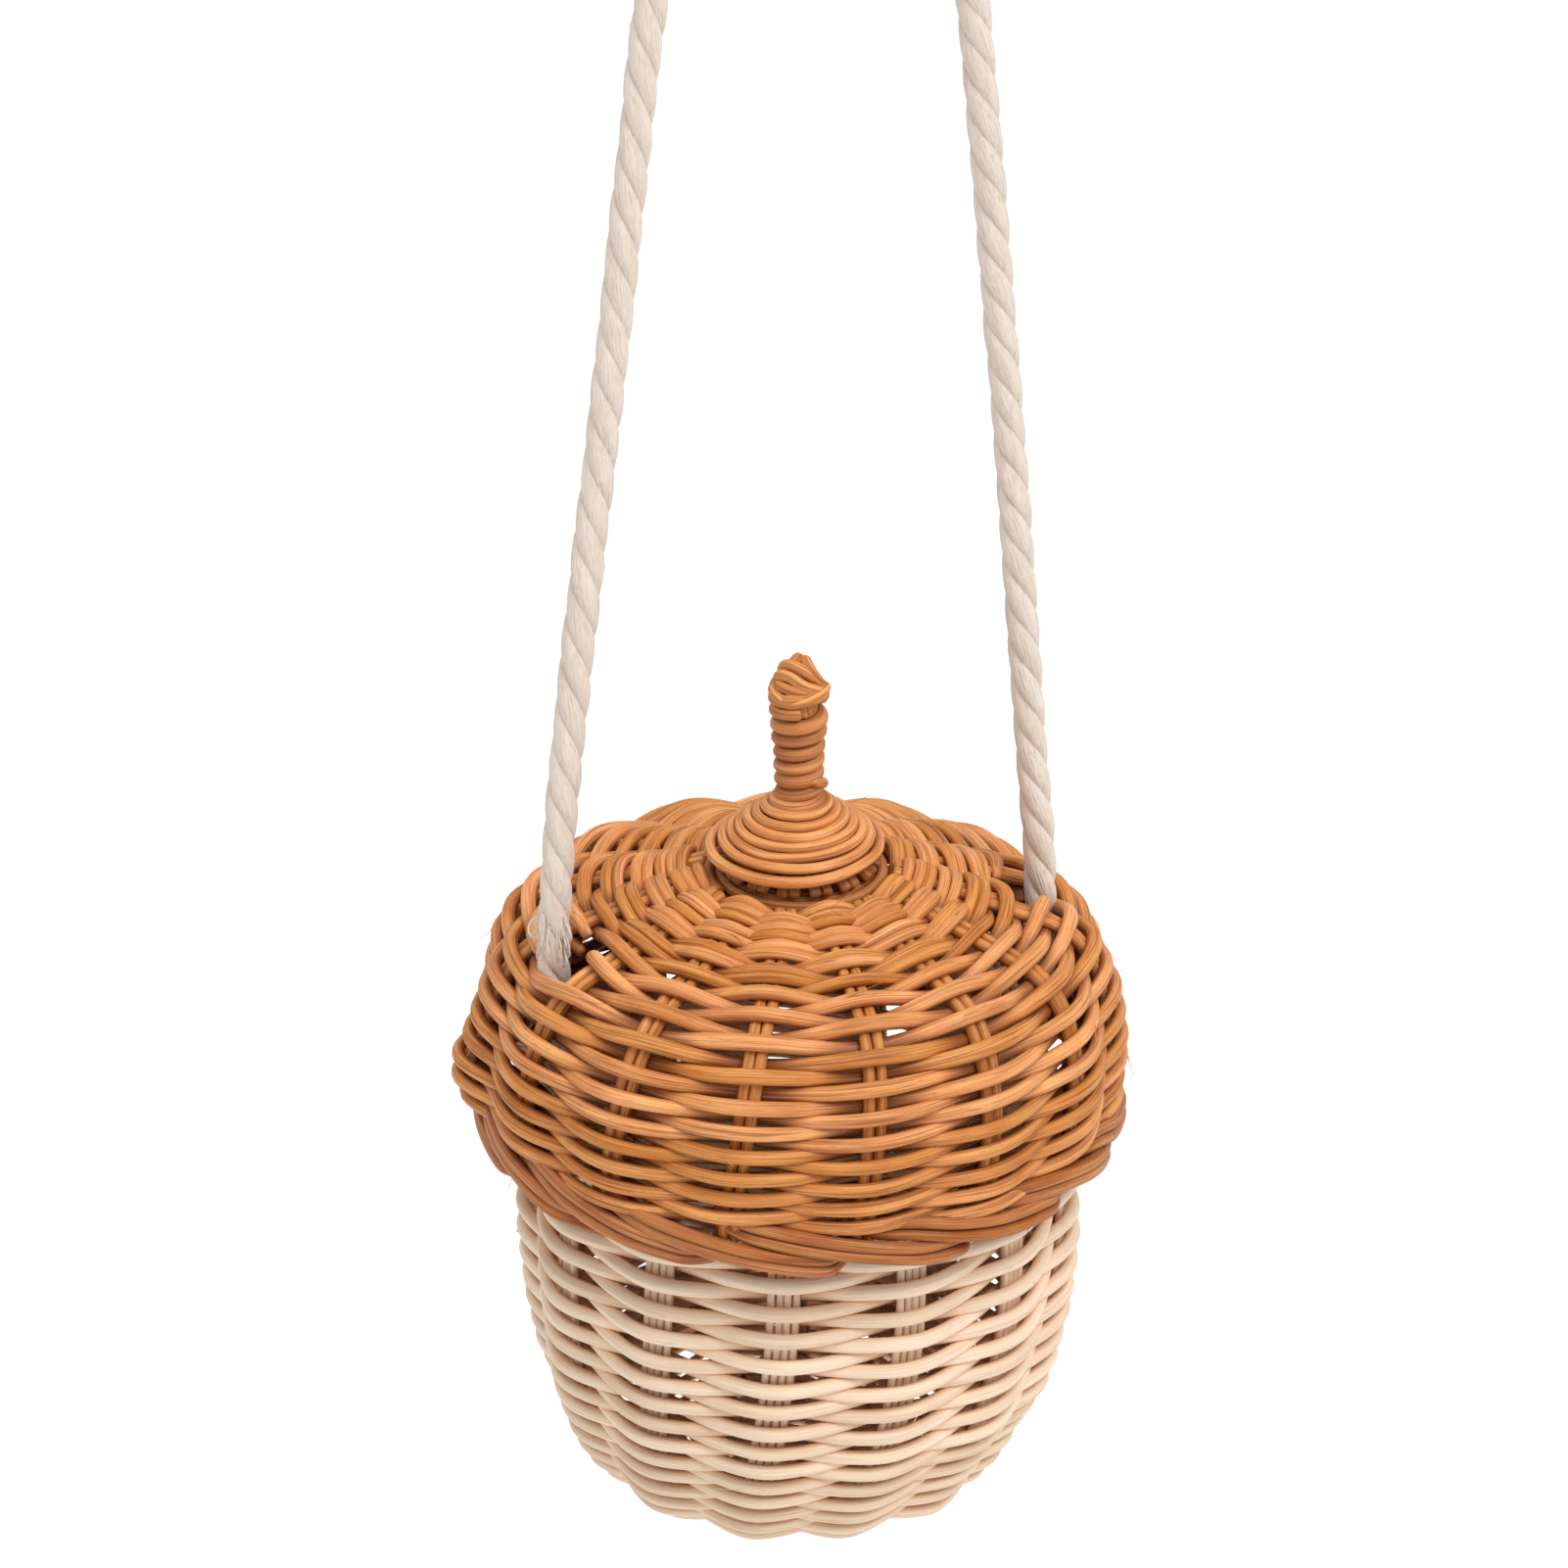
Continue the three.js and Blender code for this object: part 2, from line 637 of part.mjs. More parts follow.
// Cap
function buildCap() {
  const channel = channelOf(CAP_STAKE_WIDTH);
  const channelRows = extended(capRows, CANE, CANE);
  const channels = stakeRing(channelRows, CAP_STAKES, capPhase, channel.width, channel.thickness);
  const slots = Object.values(ROPE_SIDE).map(ropeSlot);
  const wall = wovenWall({ rows: capRows, stakes: CAP_STAKES, phase: capPhase, turns: CAP_ROWS, channel });
  add(cap, "cap_weave", cut(wall, [...channels, ...slots]), brownCane);

  const reach = (CAP_NECK_R - CROWN_R - SEAT_GAP + (CANE / 2) * capSlope.y) / capSlope.x;
  stakeRing(extended(capRows, 0, reach), CAP_STAKES, capPhase, CAP_STAKE_WIDTH, CANE).forEach((stake, k) => {
    add(cap, `cap_stake_${two(k)}`, stake, brownCane);
  });

  const borderH = -SEAT_GAP - CAP_BORDER_HEIGHT / 2;
  const steps = CAP_STAKES * STEPS_PER_STAKE;
  const border = borderRing(
    capBorderR,
    borderH,
    CAP_BORDER_WIDTH,
    CAP_BORDER_HEIGHT,
    steps,
    CAP_PHASE,
    CAP_STAKES,
    CAP_BORDER_LOBE,
  );
  add(cap, "cap_border", border, brownCane);

  const bore = STEM_R - WINDING_CANE / 2;
  const crown = [
    [bore, crownTopH - CROWN_THICKNESS],
    [CROWN_R, crownTopH - CROWN_THICKNESS],
    [CROWN_R, crownTopH],
    [bore, crownTopH],
    [bore, crownTopH - CROWN_THICKNESS],
  ];
  add(cap, "cap_crown", lathe(crown, 30), brownCane);
}

// Knob
function buildKnob() {
  const inset = WINDING_CANE / 2 + CORE_GAP;
  const coreR = STEM_R - inset;
  const cone = v2(SAUCER_R - STEM_R, stemBaseH - saucerH).normalize();
  const coneFoot = v2(SAUCER_R - inset * cone.y, saucerH - inset * cone.x);
  const footR = Math.min(coneFoot.x, SAUCER_R - WINDING_CANE / 2 - CORE_GAP);
  const crownUnder = crownTopH - CROWN_THICKNESS - SEAT_GAP;
  const core = [
    [0, crownUnder - CORE_FOOT_HEIGHT],
    [CORE_FOOT_R, crownUnder - CORE_FOOT_HEIGHT],
    [CORE_FOOT_R, crownUnder],
    [coreR, crownUnder],
    [coreR, crownTopH + SEAT_GAP],
    [footR - CORE_GAP, crownTopH + SEAT_GAP],
    [footR - CORE_GAP, coneFoot.y],
    [coreR, coneFoot.y + ((footR - CORE_GAP - coreR) * cone.y) / cone.x],
    [coreR, tipH - SEAT_GAP],
    [0, tipH - SEAT_GAP],
  ];
  add(cap, "knob_core", lathe(core, 16), brownCane);
  add(cap, "knob_winding", winding.geometry, brownCane);
  const tip = [
    [0, 0],
    [0.95 * TIP_R, 0],
    [TIP_R, 0.35 * TIP_HEIGHT],
    [0.9 * TIP_R, 0.72 * TIP_HEIGHT],
    [0.5 * TIP_R, TIP_HEIGHT],
    [0, TIP_HEIGHT],
  ].map(([r, z]) => [r, tipH + z]);
  add(cap, "knob_tip", lathe(tip, 16), brownCane);
}

// Strap
function buildStrap() {
  const foot = ropeJointZ + SEAT_GAP / 2;
  const leg = ({ radius, azimuth }) => [foot, foot + CANE].map((z) => around(radius, azimuth, z));
  const route = new THREE.CatmullRomCurve3([
    ...leg(ROPE_SIDE.left),
    ...STRAP_ROUTE.map((p) => new THREE.Vector3(...p)),
    ...leg(ROPE_SIDE.right).reverse(),
  ]);
  add(strap, "strap_loop", ropeTube(route, ROPE, STRAP_STEPS), cotton);
  for (const [name, side] of Object.entries(ROPE_SIDE)) {
    add(strap, `strap_end_${name}`, ropeEnd(side, ROPE), cotton);
    add(strap, `strap_knot_${name}`, stopperKnot(side), cotton);
  }
}

buildBowl();
buildCap();
buildKnob();
buildStrap();
cap.position.z = capEdgeZ;
const basket = new THREE.Group();
basket.add(bowl, cap, strap);
basket.position.z = -HANG_Z;
console.log(`cap edge ${capEdgeZ.toFixed(2)} mm above the base`);

export default basket;
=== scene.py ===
"""Acorn-shaped cane basket: pale woven bowl, stained woven cap with a wound knob, rope strap.

Shapes are worked out in millimetres above the basket's base and put into the meshes in
metres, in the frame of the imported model, whose origin is the crest of the strap's loop.
"""

import logging
import math
from collections import defaultdict
from collections.abc import Callable, Sequence
from dataclasses import dataclass, field
from enum import Enum

import bpy
import numpy as np
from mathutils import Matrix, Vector


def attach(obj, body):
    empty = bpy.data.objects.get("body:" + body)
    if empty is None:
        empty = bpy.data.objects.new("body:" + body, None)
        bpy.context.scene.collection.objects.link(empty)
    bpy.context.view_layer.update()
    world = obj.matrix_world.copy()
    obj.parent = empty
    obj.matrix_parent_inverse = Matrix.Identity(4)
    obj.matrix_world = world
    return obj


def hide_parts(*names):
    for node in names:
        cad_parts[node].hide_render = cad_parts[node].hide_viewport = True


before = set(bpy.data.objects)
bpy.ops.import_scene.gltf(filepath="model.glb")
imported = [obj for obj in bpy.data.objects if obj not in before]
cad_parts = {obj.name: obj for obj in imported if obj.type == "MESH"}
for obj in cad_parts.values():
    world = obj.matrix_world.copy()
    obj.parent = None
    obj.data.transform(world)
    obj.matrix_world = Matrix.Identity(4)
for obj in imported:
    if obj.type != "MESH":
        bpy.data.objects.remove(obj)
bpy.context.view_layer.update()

LOG = logging.getLogger("basket")
MM = 0.001
TAU = 2 * math.pi
HANG_Z = 450.0  # the loop's crest above the base
EDGE_Z = 107.34  # the cap's edge above the base
ROPE = 8.3  # the strap's thickness
UP = (0, 0, 1)
ENDS = [0, -1]  # a path's first and last point

Array = np.ndarray
Rng = np.random.Generator
Keys = Sequence[Sequence[float]]
Labels = Sequence[str]
Colour = tuple[float, float, float, float]
Fade = tuple[float, float, float]
Pair = tuple[float, float]  # for random differences: their period and their size
Material = bpy.types.Material
Piece = bpy.types.Object
Socket = bpy.types.NodeSocket
Sockets = bpy.types.bpy_prop_collection


class Body(Enum):
    """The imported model's bodies."""

    BOWL = "bowl"
    CAP = "cap"


class Slot(Enum):
    """The record's material slots."""

    PALE = "natural_cane"
    BROWN = "stained_cane"
    ROPE = "cotton_rope"


@dataclass(frozen=True)
class Dress:
    """What a piece moves with, its slot in the record and its finish."""

    body: Body
    slot: Slot
    material: Material


# Curves and small helpers


def around(radius: Array | float, azimuth: Array | float, height: Array | float) -> Array:
    """Points at a radius, an azimuth in radians from the front (-Y) towards +X, and a height."""
    radius, azimuth, height = np.broadcast_arrays(radius, azimuth, height)
    return np.stack([radius * np.sin(azimuth), -radius * np.cos(azimuth), height], axis=-1)


def compass(azimuth: Array | float) -> tuple[Array, Array]:
    """The level unit vectors outwards and sideways at an azimuth."""
    return around(1.0, azimuth, 0.0), around(1.0, azimuth + math.pi / 2, 0.0)


def unit(vectors: Array) -> Array:
    """The vectors divided by their lengths."""
    return vectors / np.maximum(np.linalg.norm(vectors, axis=-1, keepdims=True), 1e-9)


def square_to(tangent: Array, reference: Array) -> Array:
    """The reference directions less their part along the tangents, as unit vectors."""
    return unit(reference - np.sum(reference * tangent, axis=1, keepdims=True) * tangent)


def smoothstep(x: Array, low: float, high: float) -> Array:
    """0 below low, 1 above high, with a smooth rise of 3t^2 - 2t^3 between."""
    t = np.clip((x - low) / (high - low), 0, 1)
    return t * t * (3 - 2 * t)


def hump(x: Array, middle: float, width: float) -> Array:
    """exp(-t^2), where t is the distance from the middle divided by the width."""
    return np.exp(-(((x - middle) / width) ** 2))


def keyed(x: Array, keys: Keys) -> Array:
    """A value that runs straight from key to key, each of them (place, value)."""
    return np.interp(x, *np.array(keys).T)


def lengths(path: Array) -> Array:
    """The length along a path at each of its points."""
    return np.concatenate([[0.0], np.cumsum(np.linalg.norm(np.diff(path, axis=0), axis=1))])


def resampled(path: Array, count: int) -> Array:
    """The path as points set evenly along its length."""
    at = np.linspace(0, lengths(path)[-1], count)
    return np.stack([np.interp(at, lengths(path), column) for column in path.T], axis=1)


def spline(keys: Keys, count: int) -> Array:
    """A Catmull-Rom curve through points, sampled evenly.

    Args:
        keys: points of any dimension.
        count: samples.

    Returns:
        The curve's points.
    """
    p = np.asarray(keys, float)
    p = np.vstack([2 * p[0] - p[1], p, 2 * p[-1] - p[-2]])
    t = np.linspace(0, len(p) - 3, 24 * len(p))
    i = np.minimum(t.astype(int), len(p) - 4)
    u = (t - i)[:, None]
    a, b, c, d = p[i], p[i + 1], p[i + 2], p[i + 3]
    dense = 0.5 * (2 * b + (c - a) * u + (2 * a - 5 * b + 4 * c - d) * u**2 + (3 * b - a - 3 * c + d) * u**3)
    return resampled(dense, count)


def bezier(keys: Keys, count: int) -> Array:
    """A cubic Bezier curve.

    Args:
        keys: its four points.
        count: samples, even in its parameter.

    Returns:
        The curve's points.
    """
    t = np.linspace(0, 1, count)[:, None]
    a, b, c, d = np.asarray(keys, float)
    return (1 - t) ** 3 * a + 3 * (1 - t) ** 2 * t * b + 3 * (1 - t) * t**2 * c + t**3 * d


def wander(at: Array, period: float, size: float, rng: Rng) -> Array:
    """Random values a period apart, joined by smooth steps.

    Args:
        at: positions.
        period: distance between random values.
        size: the largest.
        rng: their source.

    Returns:
        One value for each position.
    """
    x = (at - at.min()) / period
    knots = rng.uniform(-size, size, int(x.max()) + 2)
    i = x.astype(int)
    t = smoothstep(x - i, 0, 1)
    return knots[i] * (1 - t) + knots[i + 1] * t


def linked(name: str, data: bpy.types.ID) -> Piece:
    """A new object, linked to the scene.

    Args:
        name: its name.
        data: its mesh, light or camera.

    Returns:
        The object.
    """
    made = bpy.data.objects.new(name, data)
    bpy.context.scene.collection.objects.link(made)
    return made


# Meshes


@dataclass
class Skein:
    """A bundle of closed tubes that becomes one piece.

    Its points carry grain (length along the cane and place in its section, mm), tone (one
    random value for each cane) and crest (1 where a cane lies outermost, 0 where it dives), which sets how
    much shade is painted on it.
    """

    parts: dict[str, list[Array]] = field(default_factory=lambda: defaultdict(list))
    total: int = 0  # points so far
    lip: float = 0.28  # how far an end's last ring stands out, of the tube's radius
    lip_size: float = 0.75  # and its radius, of the tube's
    peak: float = 0.3  # how far the end's middle stands out further, of that

    def tube(
        self,
        path: Array,
        reference: Array,
        radius: Array | float,
        sides: int,
        tone: float,
        crest: Array | float,
        start: float = 0.0,
        section: Callable[[Array, Array], Array] | None = None,
        twist: float = 0.0,
        hollow: Fade = (0.0, 0.0, 1.0),
    ) -> None:
        """Adds one tube: rings of points square to the path, closed by slightly domed ends.

        Args:
            path: (n, 3) centre line, mm.
            reference: (3,) or (n, 3) directions that the sections face.
            radius: mm, one value, one for each point, or (n, 2) along the reference and across.
            sides: points in each ring.
            tone: the cane's random value.
            crest: one value or one for each point; the lower it is, the more shade is painted.
            start: length along the cane at the path's start.
            section: factor of the radius by length along and angle.
            twist: turn of the grain round the cane, radians for each mm.
            hollow: how much crest falls towards the section's back, painting shade there, and between
            which parts of it, 0 being its back and 1 its front.
        """
        n = len(path)
        tangent = unit(np.gradient(path, axis=0))
        a = square_to(tangent, np.asarray(reference, float))
        b = np.cross(tangent, a)
        angle = np.arange(sides) * TAU / sides
        r = np.broadcast_to(np.reshape(radius, (-1, max(np.ndim(radius), 1))), (n, 2))
        along = lengths(path) + start
        size = 1.0 if section is None else section(along[:, None], angle)
        x, y = r[:, :1] * np.cos(angle) * size, r[:, 1:] * np.sin(angle) * size
        rings = path[:, None] + x[..., None] * a[:, None] + y[..., None] * b[:, None]
        reach = r.mean(axis=1)[ENDS] * self.lip * [-1, 1]
        ends = path[ENDS] + tangent[ENDS] * reach[:, None]
        lips = ends[:, None] + (rings[ENDS] - path[ENDS, None]) * self.lip_size
        rings = np.concatenate([lips[:1], rings, lips[1:]])
        j = np.arange(sides)
        k = (j + 1) % sides
        i = np.arange(n + 1)[:, None] * sides
        last, tip = (n + 1) * sides, (n + 2) * sides
        quads = np.stack([i + j, i + k, i + sides + k, i + sides + j], axis=-1)
        fans = [np.stack(fan, axis=1) for fan in ((0 * j + tip, k, j), (0 * j + tip + 1, last + j, last + k))]
        turned = angle - twist * along[:, None]
        thick = np.hypot(x, y)
        grain = np.stack([along[:, None] + 0 * x, thick * np.cos(turned), thick * np.sin(turned)], axis=-1)
        rows = np.clip(np.arange(-1, n + 1), 0, n - 1)
        # painted shade: crest falls towards each ring's back by the hollow's share
        high = np.broadcast_to(crest, (n,))[rows]
        share, low, full = hollow
        front = 1 - share * (1 - smoothstep(0.5 + 0.5 * np.cos(angle), low, full))
        made = {
            "points": np.concatenate([rings.reshape(-1, 3), ends + (ends - path[ENDS]) * self.peak]),
            "quads": quads.reshape(-1, 4) + self.total,
            "tris": np.concatenate(fans) + self.total,
            "grain": np.concatenate([grain[rows].reshape(-1, 3), np.outer(along[ENDS], [1, 0, 0])]),
            "tone": np.full(tip + 2, tone),
            "crest": np.concatenate([np.outer(high, front).ravel(), high[ENDS] * (1 - share / 2)]),
        }
        for label, values in made.items():
            self.parts[label].append(values)
        self.total += tip + 2

    def mesh(self, name: str) -> bpy.types.Mesh:
        """The smooth shaded mesh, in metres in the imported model's frame.

        Args:
            name: its name.

        Returns:
            A mesh with the attributes grain, tone and crest.
        """
        parts = {label: np.concatenate(values) for label, values in self.parts.items()}
        points = (parts["points"] - [0, 0, HANG_Z]) * MM
        corners = np.concatenate([parts["quads"].ravel(), parts["tris"].ravel()])
        totals = np.repeat([4, 3], [len(parts["quads"]), len(parts["tris"])])
        mesh = bpy.data.meshes.new(name)
        mesh.vertices.add(len(points))
        mesh.vertices.foreach_set("co", points.astype(np.float32).ravel())
        mesh.loops.add(len(corners))
        mesh.loops.foreach_set("vertex_index", corners.astype(np.int32))
        mesh.polygons.add(len(totals))
        mesh.polygons.foreach_set("loop_start", (np.cumsum(totals) - totals).astype(np.int32))
        mesh.polygons.foreach_set("loop_total", totals.astype(np.int32))
        mesh.polygons.foreach_set("use_smooth", np.ones(len(totals), bool))
        mesh.update(calc_edges=True)
        kinds = {"grain": ("FLOAT_VECTOR", "vector"), "tone": ("FLOAT", "value"), "crest": ("FLOAT", "value")}
        for label, (kind, key) in kinds.items():
            values = parts[label].astype(np.float32).ravel()
            mesh.attributes.new(label, kind, "POINT").data.foreach_set(key, values)
        return mesh

    def place(self, name: str, dress: Dress, *nodes: str) -> Piece:
        """Makes the piece.

        Args:
            name: its name.
            dress: its body, slot and finish.
            nodes: the solids that it replaces.

        Returns:
            The new object.
        """
        mesh = self.mesh(name)
        mesh.materials.append(dress.material)
        piece = linked(name, mesh)
        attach(piece, dress.body.value)
        if nodes:
            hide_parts(*nodes)
        LOG.info("%s: %d triangles", name, len(mesh.loops) - 2 * len(mesh.polygons))
        return piece


# Finishes


class Groups(Enum):
    """Effects that several materials can share."""

    FIBRES = "Cane fibres"
    YARN = "Spun yarn"
    DUST = "Dust in hollows"


@dataclass
class Wiring:
    """Short ways to add nodes to a tree and link them."""

    tree: bpy.types.NodeTree

    def feed(self, sockets: Sockets, sources: dict[str | int, object]) -> None:
        """Links inputs to other sockets, or gives them plain values.

        Args:
            sockets: a node's inputs.
            sources: what goes in, by name or number.
        """
        for key, source in sources.items():
            if isinstance(source, Socket):
                self.tree.links.new(source, sockets[key])
            else:
                sockets[key].default_value = source

    def node(self, kind: str, sources: dict[str | int, object], **values: object) -> Sockets:
        """Adds a shader node.

        Args:
            kind: its type, after ShaderNode.
            sources: what goes in, by name or number.
            values: its own properties.

        Returns:
            Its outputs.
        """
        made = self.tree.nodes.new(f"ShaderNode{kind}")
        for key, value in values.items():
            setattr(made, key, value)
        self.feed(made.inputs, sources)
        return made.outputs

    def carried(self) -> tuple[Socket, Socket, Socket]:
        """What the mesh's points carry.

        Returns:
            Their grain, tone and crest.
        """
        names = ("grain", "tone", "crest")
        grain, tone, crest = (self.node("Attribute", {}, attribute_name=name) for name in names)
        return grain["Vector"], tone["Fac"], crest["Fac"]

    def add(self, first: object, second: object) -> Socket:
        """The sum of two numbers."""
        return self.node("Math", {0: first, 1: second}, operation="ADD")[0]

    def times(self, first: object, second: object) -> Socket:
        """The product of two numbers."""
        return self.node("Math", {0: first, 1: second}, operation="MULTIPLY")[0]

    def noise(self, grain: Socket, seed: Socket, along: float, across: float, detail: float) -> Socket:
        """Noise stretched along the cane.

        Args:
            grain: place in the cane, mm.
            seed: where the noise is cut.
            along: waves for each mm along the cane.
            across: and across it.
            detail: finer waves on top.

        Returns:
            The noise, from 0 to 1.
        """
        scaled = self.node("VectorMath", {0: grain, 1: (along, across, across)}, operation="MULTIPLY")[0]
        sources = {"Vector": scaled, "W": seed, "Scale": 1.0, "Detail": detail}
        return self.node("TexNoise", sources, noise_dimensions="4D")["Fac"]

    def span(self, value: Socket, low: float, high: float, start: float = 0.0, end: float = 1.0) -> Socket:
        """A value mapped from one range to another and held inside it."""
        ranges = {"From Min": low, "From Max": high, "To Min": start, "To Max": end}
        return self.node("MapRange", {"Value": value, **ranges})[0]

    def mix(self, share: Socket, first: object, second: object) -> Socket:
        """Two colours mixed by the second one's share."""
        return self.node("Mix", {0: share, 6: first, 7: second}, data_type="RGBA")[2]

    def bump(self, height: Socket, strength: float, distance: float) -> Socket:
        """A normal bent by a height, over a distance in metres."""
        return self.node("Bump", {"Height": height, "Strength": strength, "Distance": distance})[0]

    def group(self, name: Groups, **sources: object) -> Sockets:
        """The outputs of a shared effect."""
        return self.node("Group", sources, node_tree=bpy.data.node_groups[name.value])


def node_group(name: Groups, inputs: Labels, outputs: Labels) -> tuple[Wiring, Sockets, Sockets]:
    """An empty shared effect.

    Args:
        name: which one.
        inputs: what goes in, numbers apart from the grain.
        outputs: the numbers that come out.

    Returns:
        Its wiring, the sockets to read from and the sockets to feed.
    """
    tree = bpy.data.node_groups.new(name.value, "ShaderNodeTree")
    for in_out, labels in (("INPUT", inputs), ("OUTPUT", outputs)):
        for label in labels:
            kind = "NodeSocketVector" if label == "Grain" else "NodeSocketFloat"
            tree.interface.new_socket(label, in_out=in_out, socket_type=kind)
    return Wiring(tree), tree.nodes.new("NodeGroupInput").outputs, tree.nodes.new("NodeGroupOutput").inputs


def make_fibres() -> None:
    """Cane fibres: streaks, flecks, dark lines, pale lines for painted highlights (Shine) and slow patches,
    from noise stretched along the cane.
    """
    outputs = ("Streaks", "Flecks", "Patches", "Lines", "Shine", "Height")
    wire, source, out = node_group(Groups.FIBRES, ("Grain", "Tone"), outputs)
    seed = wire.times(source["Tone"], 57.0)
    stretches = ((0.03, 0.95, 1.0), (0.06, 3.0, 2.0), (0.28, 2.6, 2.0), (0.05, 0.2, 2.0), (0.035, 4.6, 1.0))
    broad, fine, flecks, patches, lines = (wire.noise(source["Grain"], seed, *each) for each in stretches)
    streaks = wire.add(wire.times(broad, 0.5), wire.times(fine, 0.5))
    ranges = {
        "Streaks": (streaks, 0.38, 0.62),
        "Flecks": (flecks, 0.6, 0.72),
        "Patches": (patches, 0.32, 0.68),
        "Lines": (lines, 0.56, 0.66),
        "Shine": (lines, 0.44, 0.34),
    }
    wire.feed(out, {label: wire.span(*terms) for label, terms in ranges.items()})
    wire.feed(out, {"Height": streaks})


def make_yarn() -> None:
    """Spun yarn: fine ridges that run along a twisted strand, fluff and slow patches."""
    wire, source, out = node_group(Groups.YARN, ("Grain", "Tone"), ("Ridges", "Fluff", "Patches"))
    seed = wire.times(source["Tone"], 31.0)
    stretches = ((0.12, 3.2, 2.0), (1.3, 6.0, 3.0), (0.045, 0.4, 2.0))
    ridges, fluff, patches = (wire.noise(source["Grain"], seed, *each) for each in stretches)
    wire.feed(out, {"Ridges": wire.span(ridges, 0.3, 0.7), "Patches": wire.span(patches, 0.35, 0.65)})
    wire.feed(out, {"Fluff": fluff})


def make_dust() -> None:
    """Dust: a mask that grows where a surface faces up and lies deep, in clouds."""
    wire, source, out = node_group(Groups.DUST, ("Crest", "Amount"), ("Dust",))
    normal = wire.node("NewGeometry", {})["Normal"]
    upward = wire.span(wire.node("SeparateXYZ", {0: normal})["Z"], 0.1, 1.0)
    hollow = wire.span(source["Crest"], 0.7, 0.1)
    place = wire.node("TexCoord", {})["Object"]
    clouds = wire.span(wire.node("TexNoise", {"Vector": place, "Scale": 160.0})["Fac"], 0.35, 0.7)
    wire.feed(out, {"Dust": wire.times(wire.times(wire.times(upward, hollow), clouds), source["Amount"])})


def new_material(name: str) -> tuple[Material, Wiring, Sockets]:
    """A material with nodes.

    Args:
        name: its name.

    Returns:
        The material, its wiring and the inputs of its Principled node.
    """
    material = bpy.data.materials.new(name)
    material.use_nodes = True
    return material, Wiring(material.node_tree), material.node_tree.nodes["Principled BSDF"].inputs


@dataclass(frozen=True)
class CaneFinish:
    """Cane: long fibres, slow patches, and painted shade: darker where a cane dives behind, paler on its
    crest.
    """

    name: str
    pale: Colour
    middle: Colour
    # deep is the painted shade's colour, laid on where the crest is low; deep_share is its most
    deep: Colour
    streak: Colour
    # shine is the colour of the painted highlights along the fibres
    shine: Colour
    streak_share: float
    fleck_share: float
    line_share: float
    deep_share: float
    roughness: float
    bump: float
    dust: float
    tone_swing: float
    dust_colour: Colour = (0.62, 0.56, 0.48, 1)
    bump_height: float = 0.00035  # metres
    specular: float = 0.3

    def material(self) -> Material:
        """Builds the material: the colours laid over one another by their shares.

        Returns:
            The cane's material.
        """
        material, wire, shader = new_material(self.name)
        grain, tone, crest = wire.carried()
        fibres = wire.group(Groups.FIBRES, Grain=grain, Tone=tone)
        base = wire.mix(fibres["Patches"], self.middle, self.pale)
        # the first layer paints shade in the deep colour where the crest falls below 0.55; the last paints
        # highlights on the fibres' pale lines
        layers = (
            (wire.span(crest, 0.0, 0.55, self.deep_share, 0.0), self.deep),
            (wire.times(wire.span(fibres["Streaks"], 0.55, 0.0), self.streak_share), self.streak),
            (wire.times(fibres["Flecks"], self.fleck_share), self.streak),
            (wire.times(fibres["Lines"], self.line_share), self.streak),
            (wire.times(fibres["Shine"], self.line_share * 0.6), self.shine),
        )
        for share, colour in layers:
            base = wire.mix(share, base, colour)
        value = wire.span(tone, 0.0, 1.0, 1 - self.tone_swing, 1 + self.tone_swing)
        saturation = wire.span(tone, 0.0, 1.0, 1.05, 0.96)
        tinted = wire.node("HueSaturation", {"Value": value, "Saturation": saturation, "Color": base})[0]
        dust = wire.group(Groups.DUST, Crest=crest, Amount=self.dust)["Dust"]
        looks = {
            "Base Color": wire.mix(dust, tinted, self.dust_colour),
            "Roughness": wire.span(fibres["Streaks"], 0.0, 1.0, self.roughness + 0.12, self.roughness - 0.06),
            "Specular IOR Level": self.specular,
            "Normal": wire.bump(fibres["Height"], self.bump, self.bump_height),
        }
        wire.feed(shader, looks)
        return material


@dataclass(frozen=True)
class CottonFinish:
    """Spun cotton: matt, with yarn ridges, painted grey-beige shade in the hollows between strands and yarns,
    and a soft sheen.
    """

    name: str
    pale: Colour
    middle: Colour
    # deep is the painted shade's colour
    deep: Colour
    bump: float
    bump_height: float = 0.0004  # metres
    roughness: float = 0.92
    specular: float = 0.15
    sheen: float = 0.25

    def material(self) -> Material:
        """Builds the material.

        Returns:
            The rope's material.
        """
        material, wire, shader = new_material(self.name)
        grain, tone, crest = wire.carried()
        yarn = wire.group(Groups.YARN, Grain=grain, Tone=tone)
        base = wire.mix(yarn["Patches"], self.middle, self.pale)
        # painted shade at the strands' backs, where the crest is below 0.6
        base = wire.mix(wire.span(crest, 0.0, 0.6, 0.85, 0.0), base, self.deep)
        height = wire.add(yarn["Ridges"], wire.times(yarn["Fluff"], 0.6))
        # and painted shade in the grooves between the yarns, where the ridges are low
        looks = {
            "Base Color": wire.mix(wire.span(yarn["Ridges"], 0.5, 0.0, 0.0, 0.4), base, self.deep),
            "Roughness": self.roughness,
            "Specular IOR Level": self.specular,
            "Sheen Weight": self.sheen,
            "Normal": wire.bump(height, self.bump, self.bump_height),
        }
        wire.feed(shader, looks)
        return material


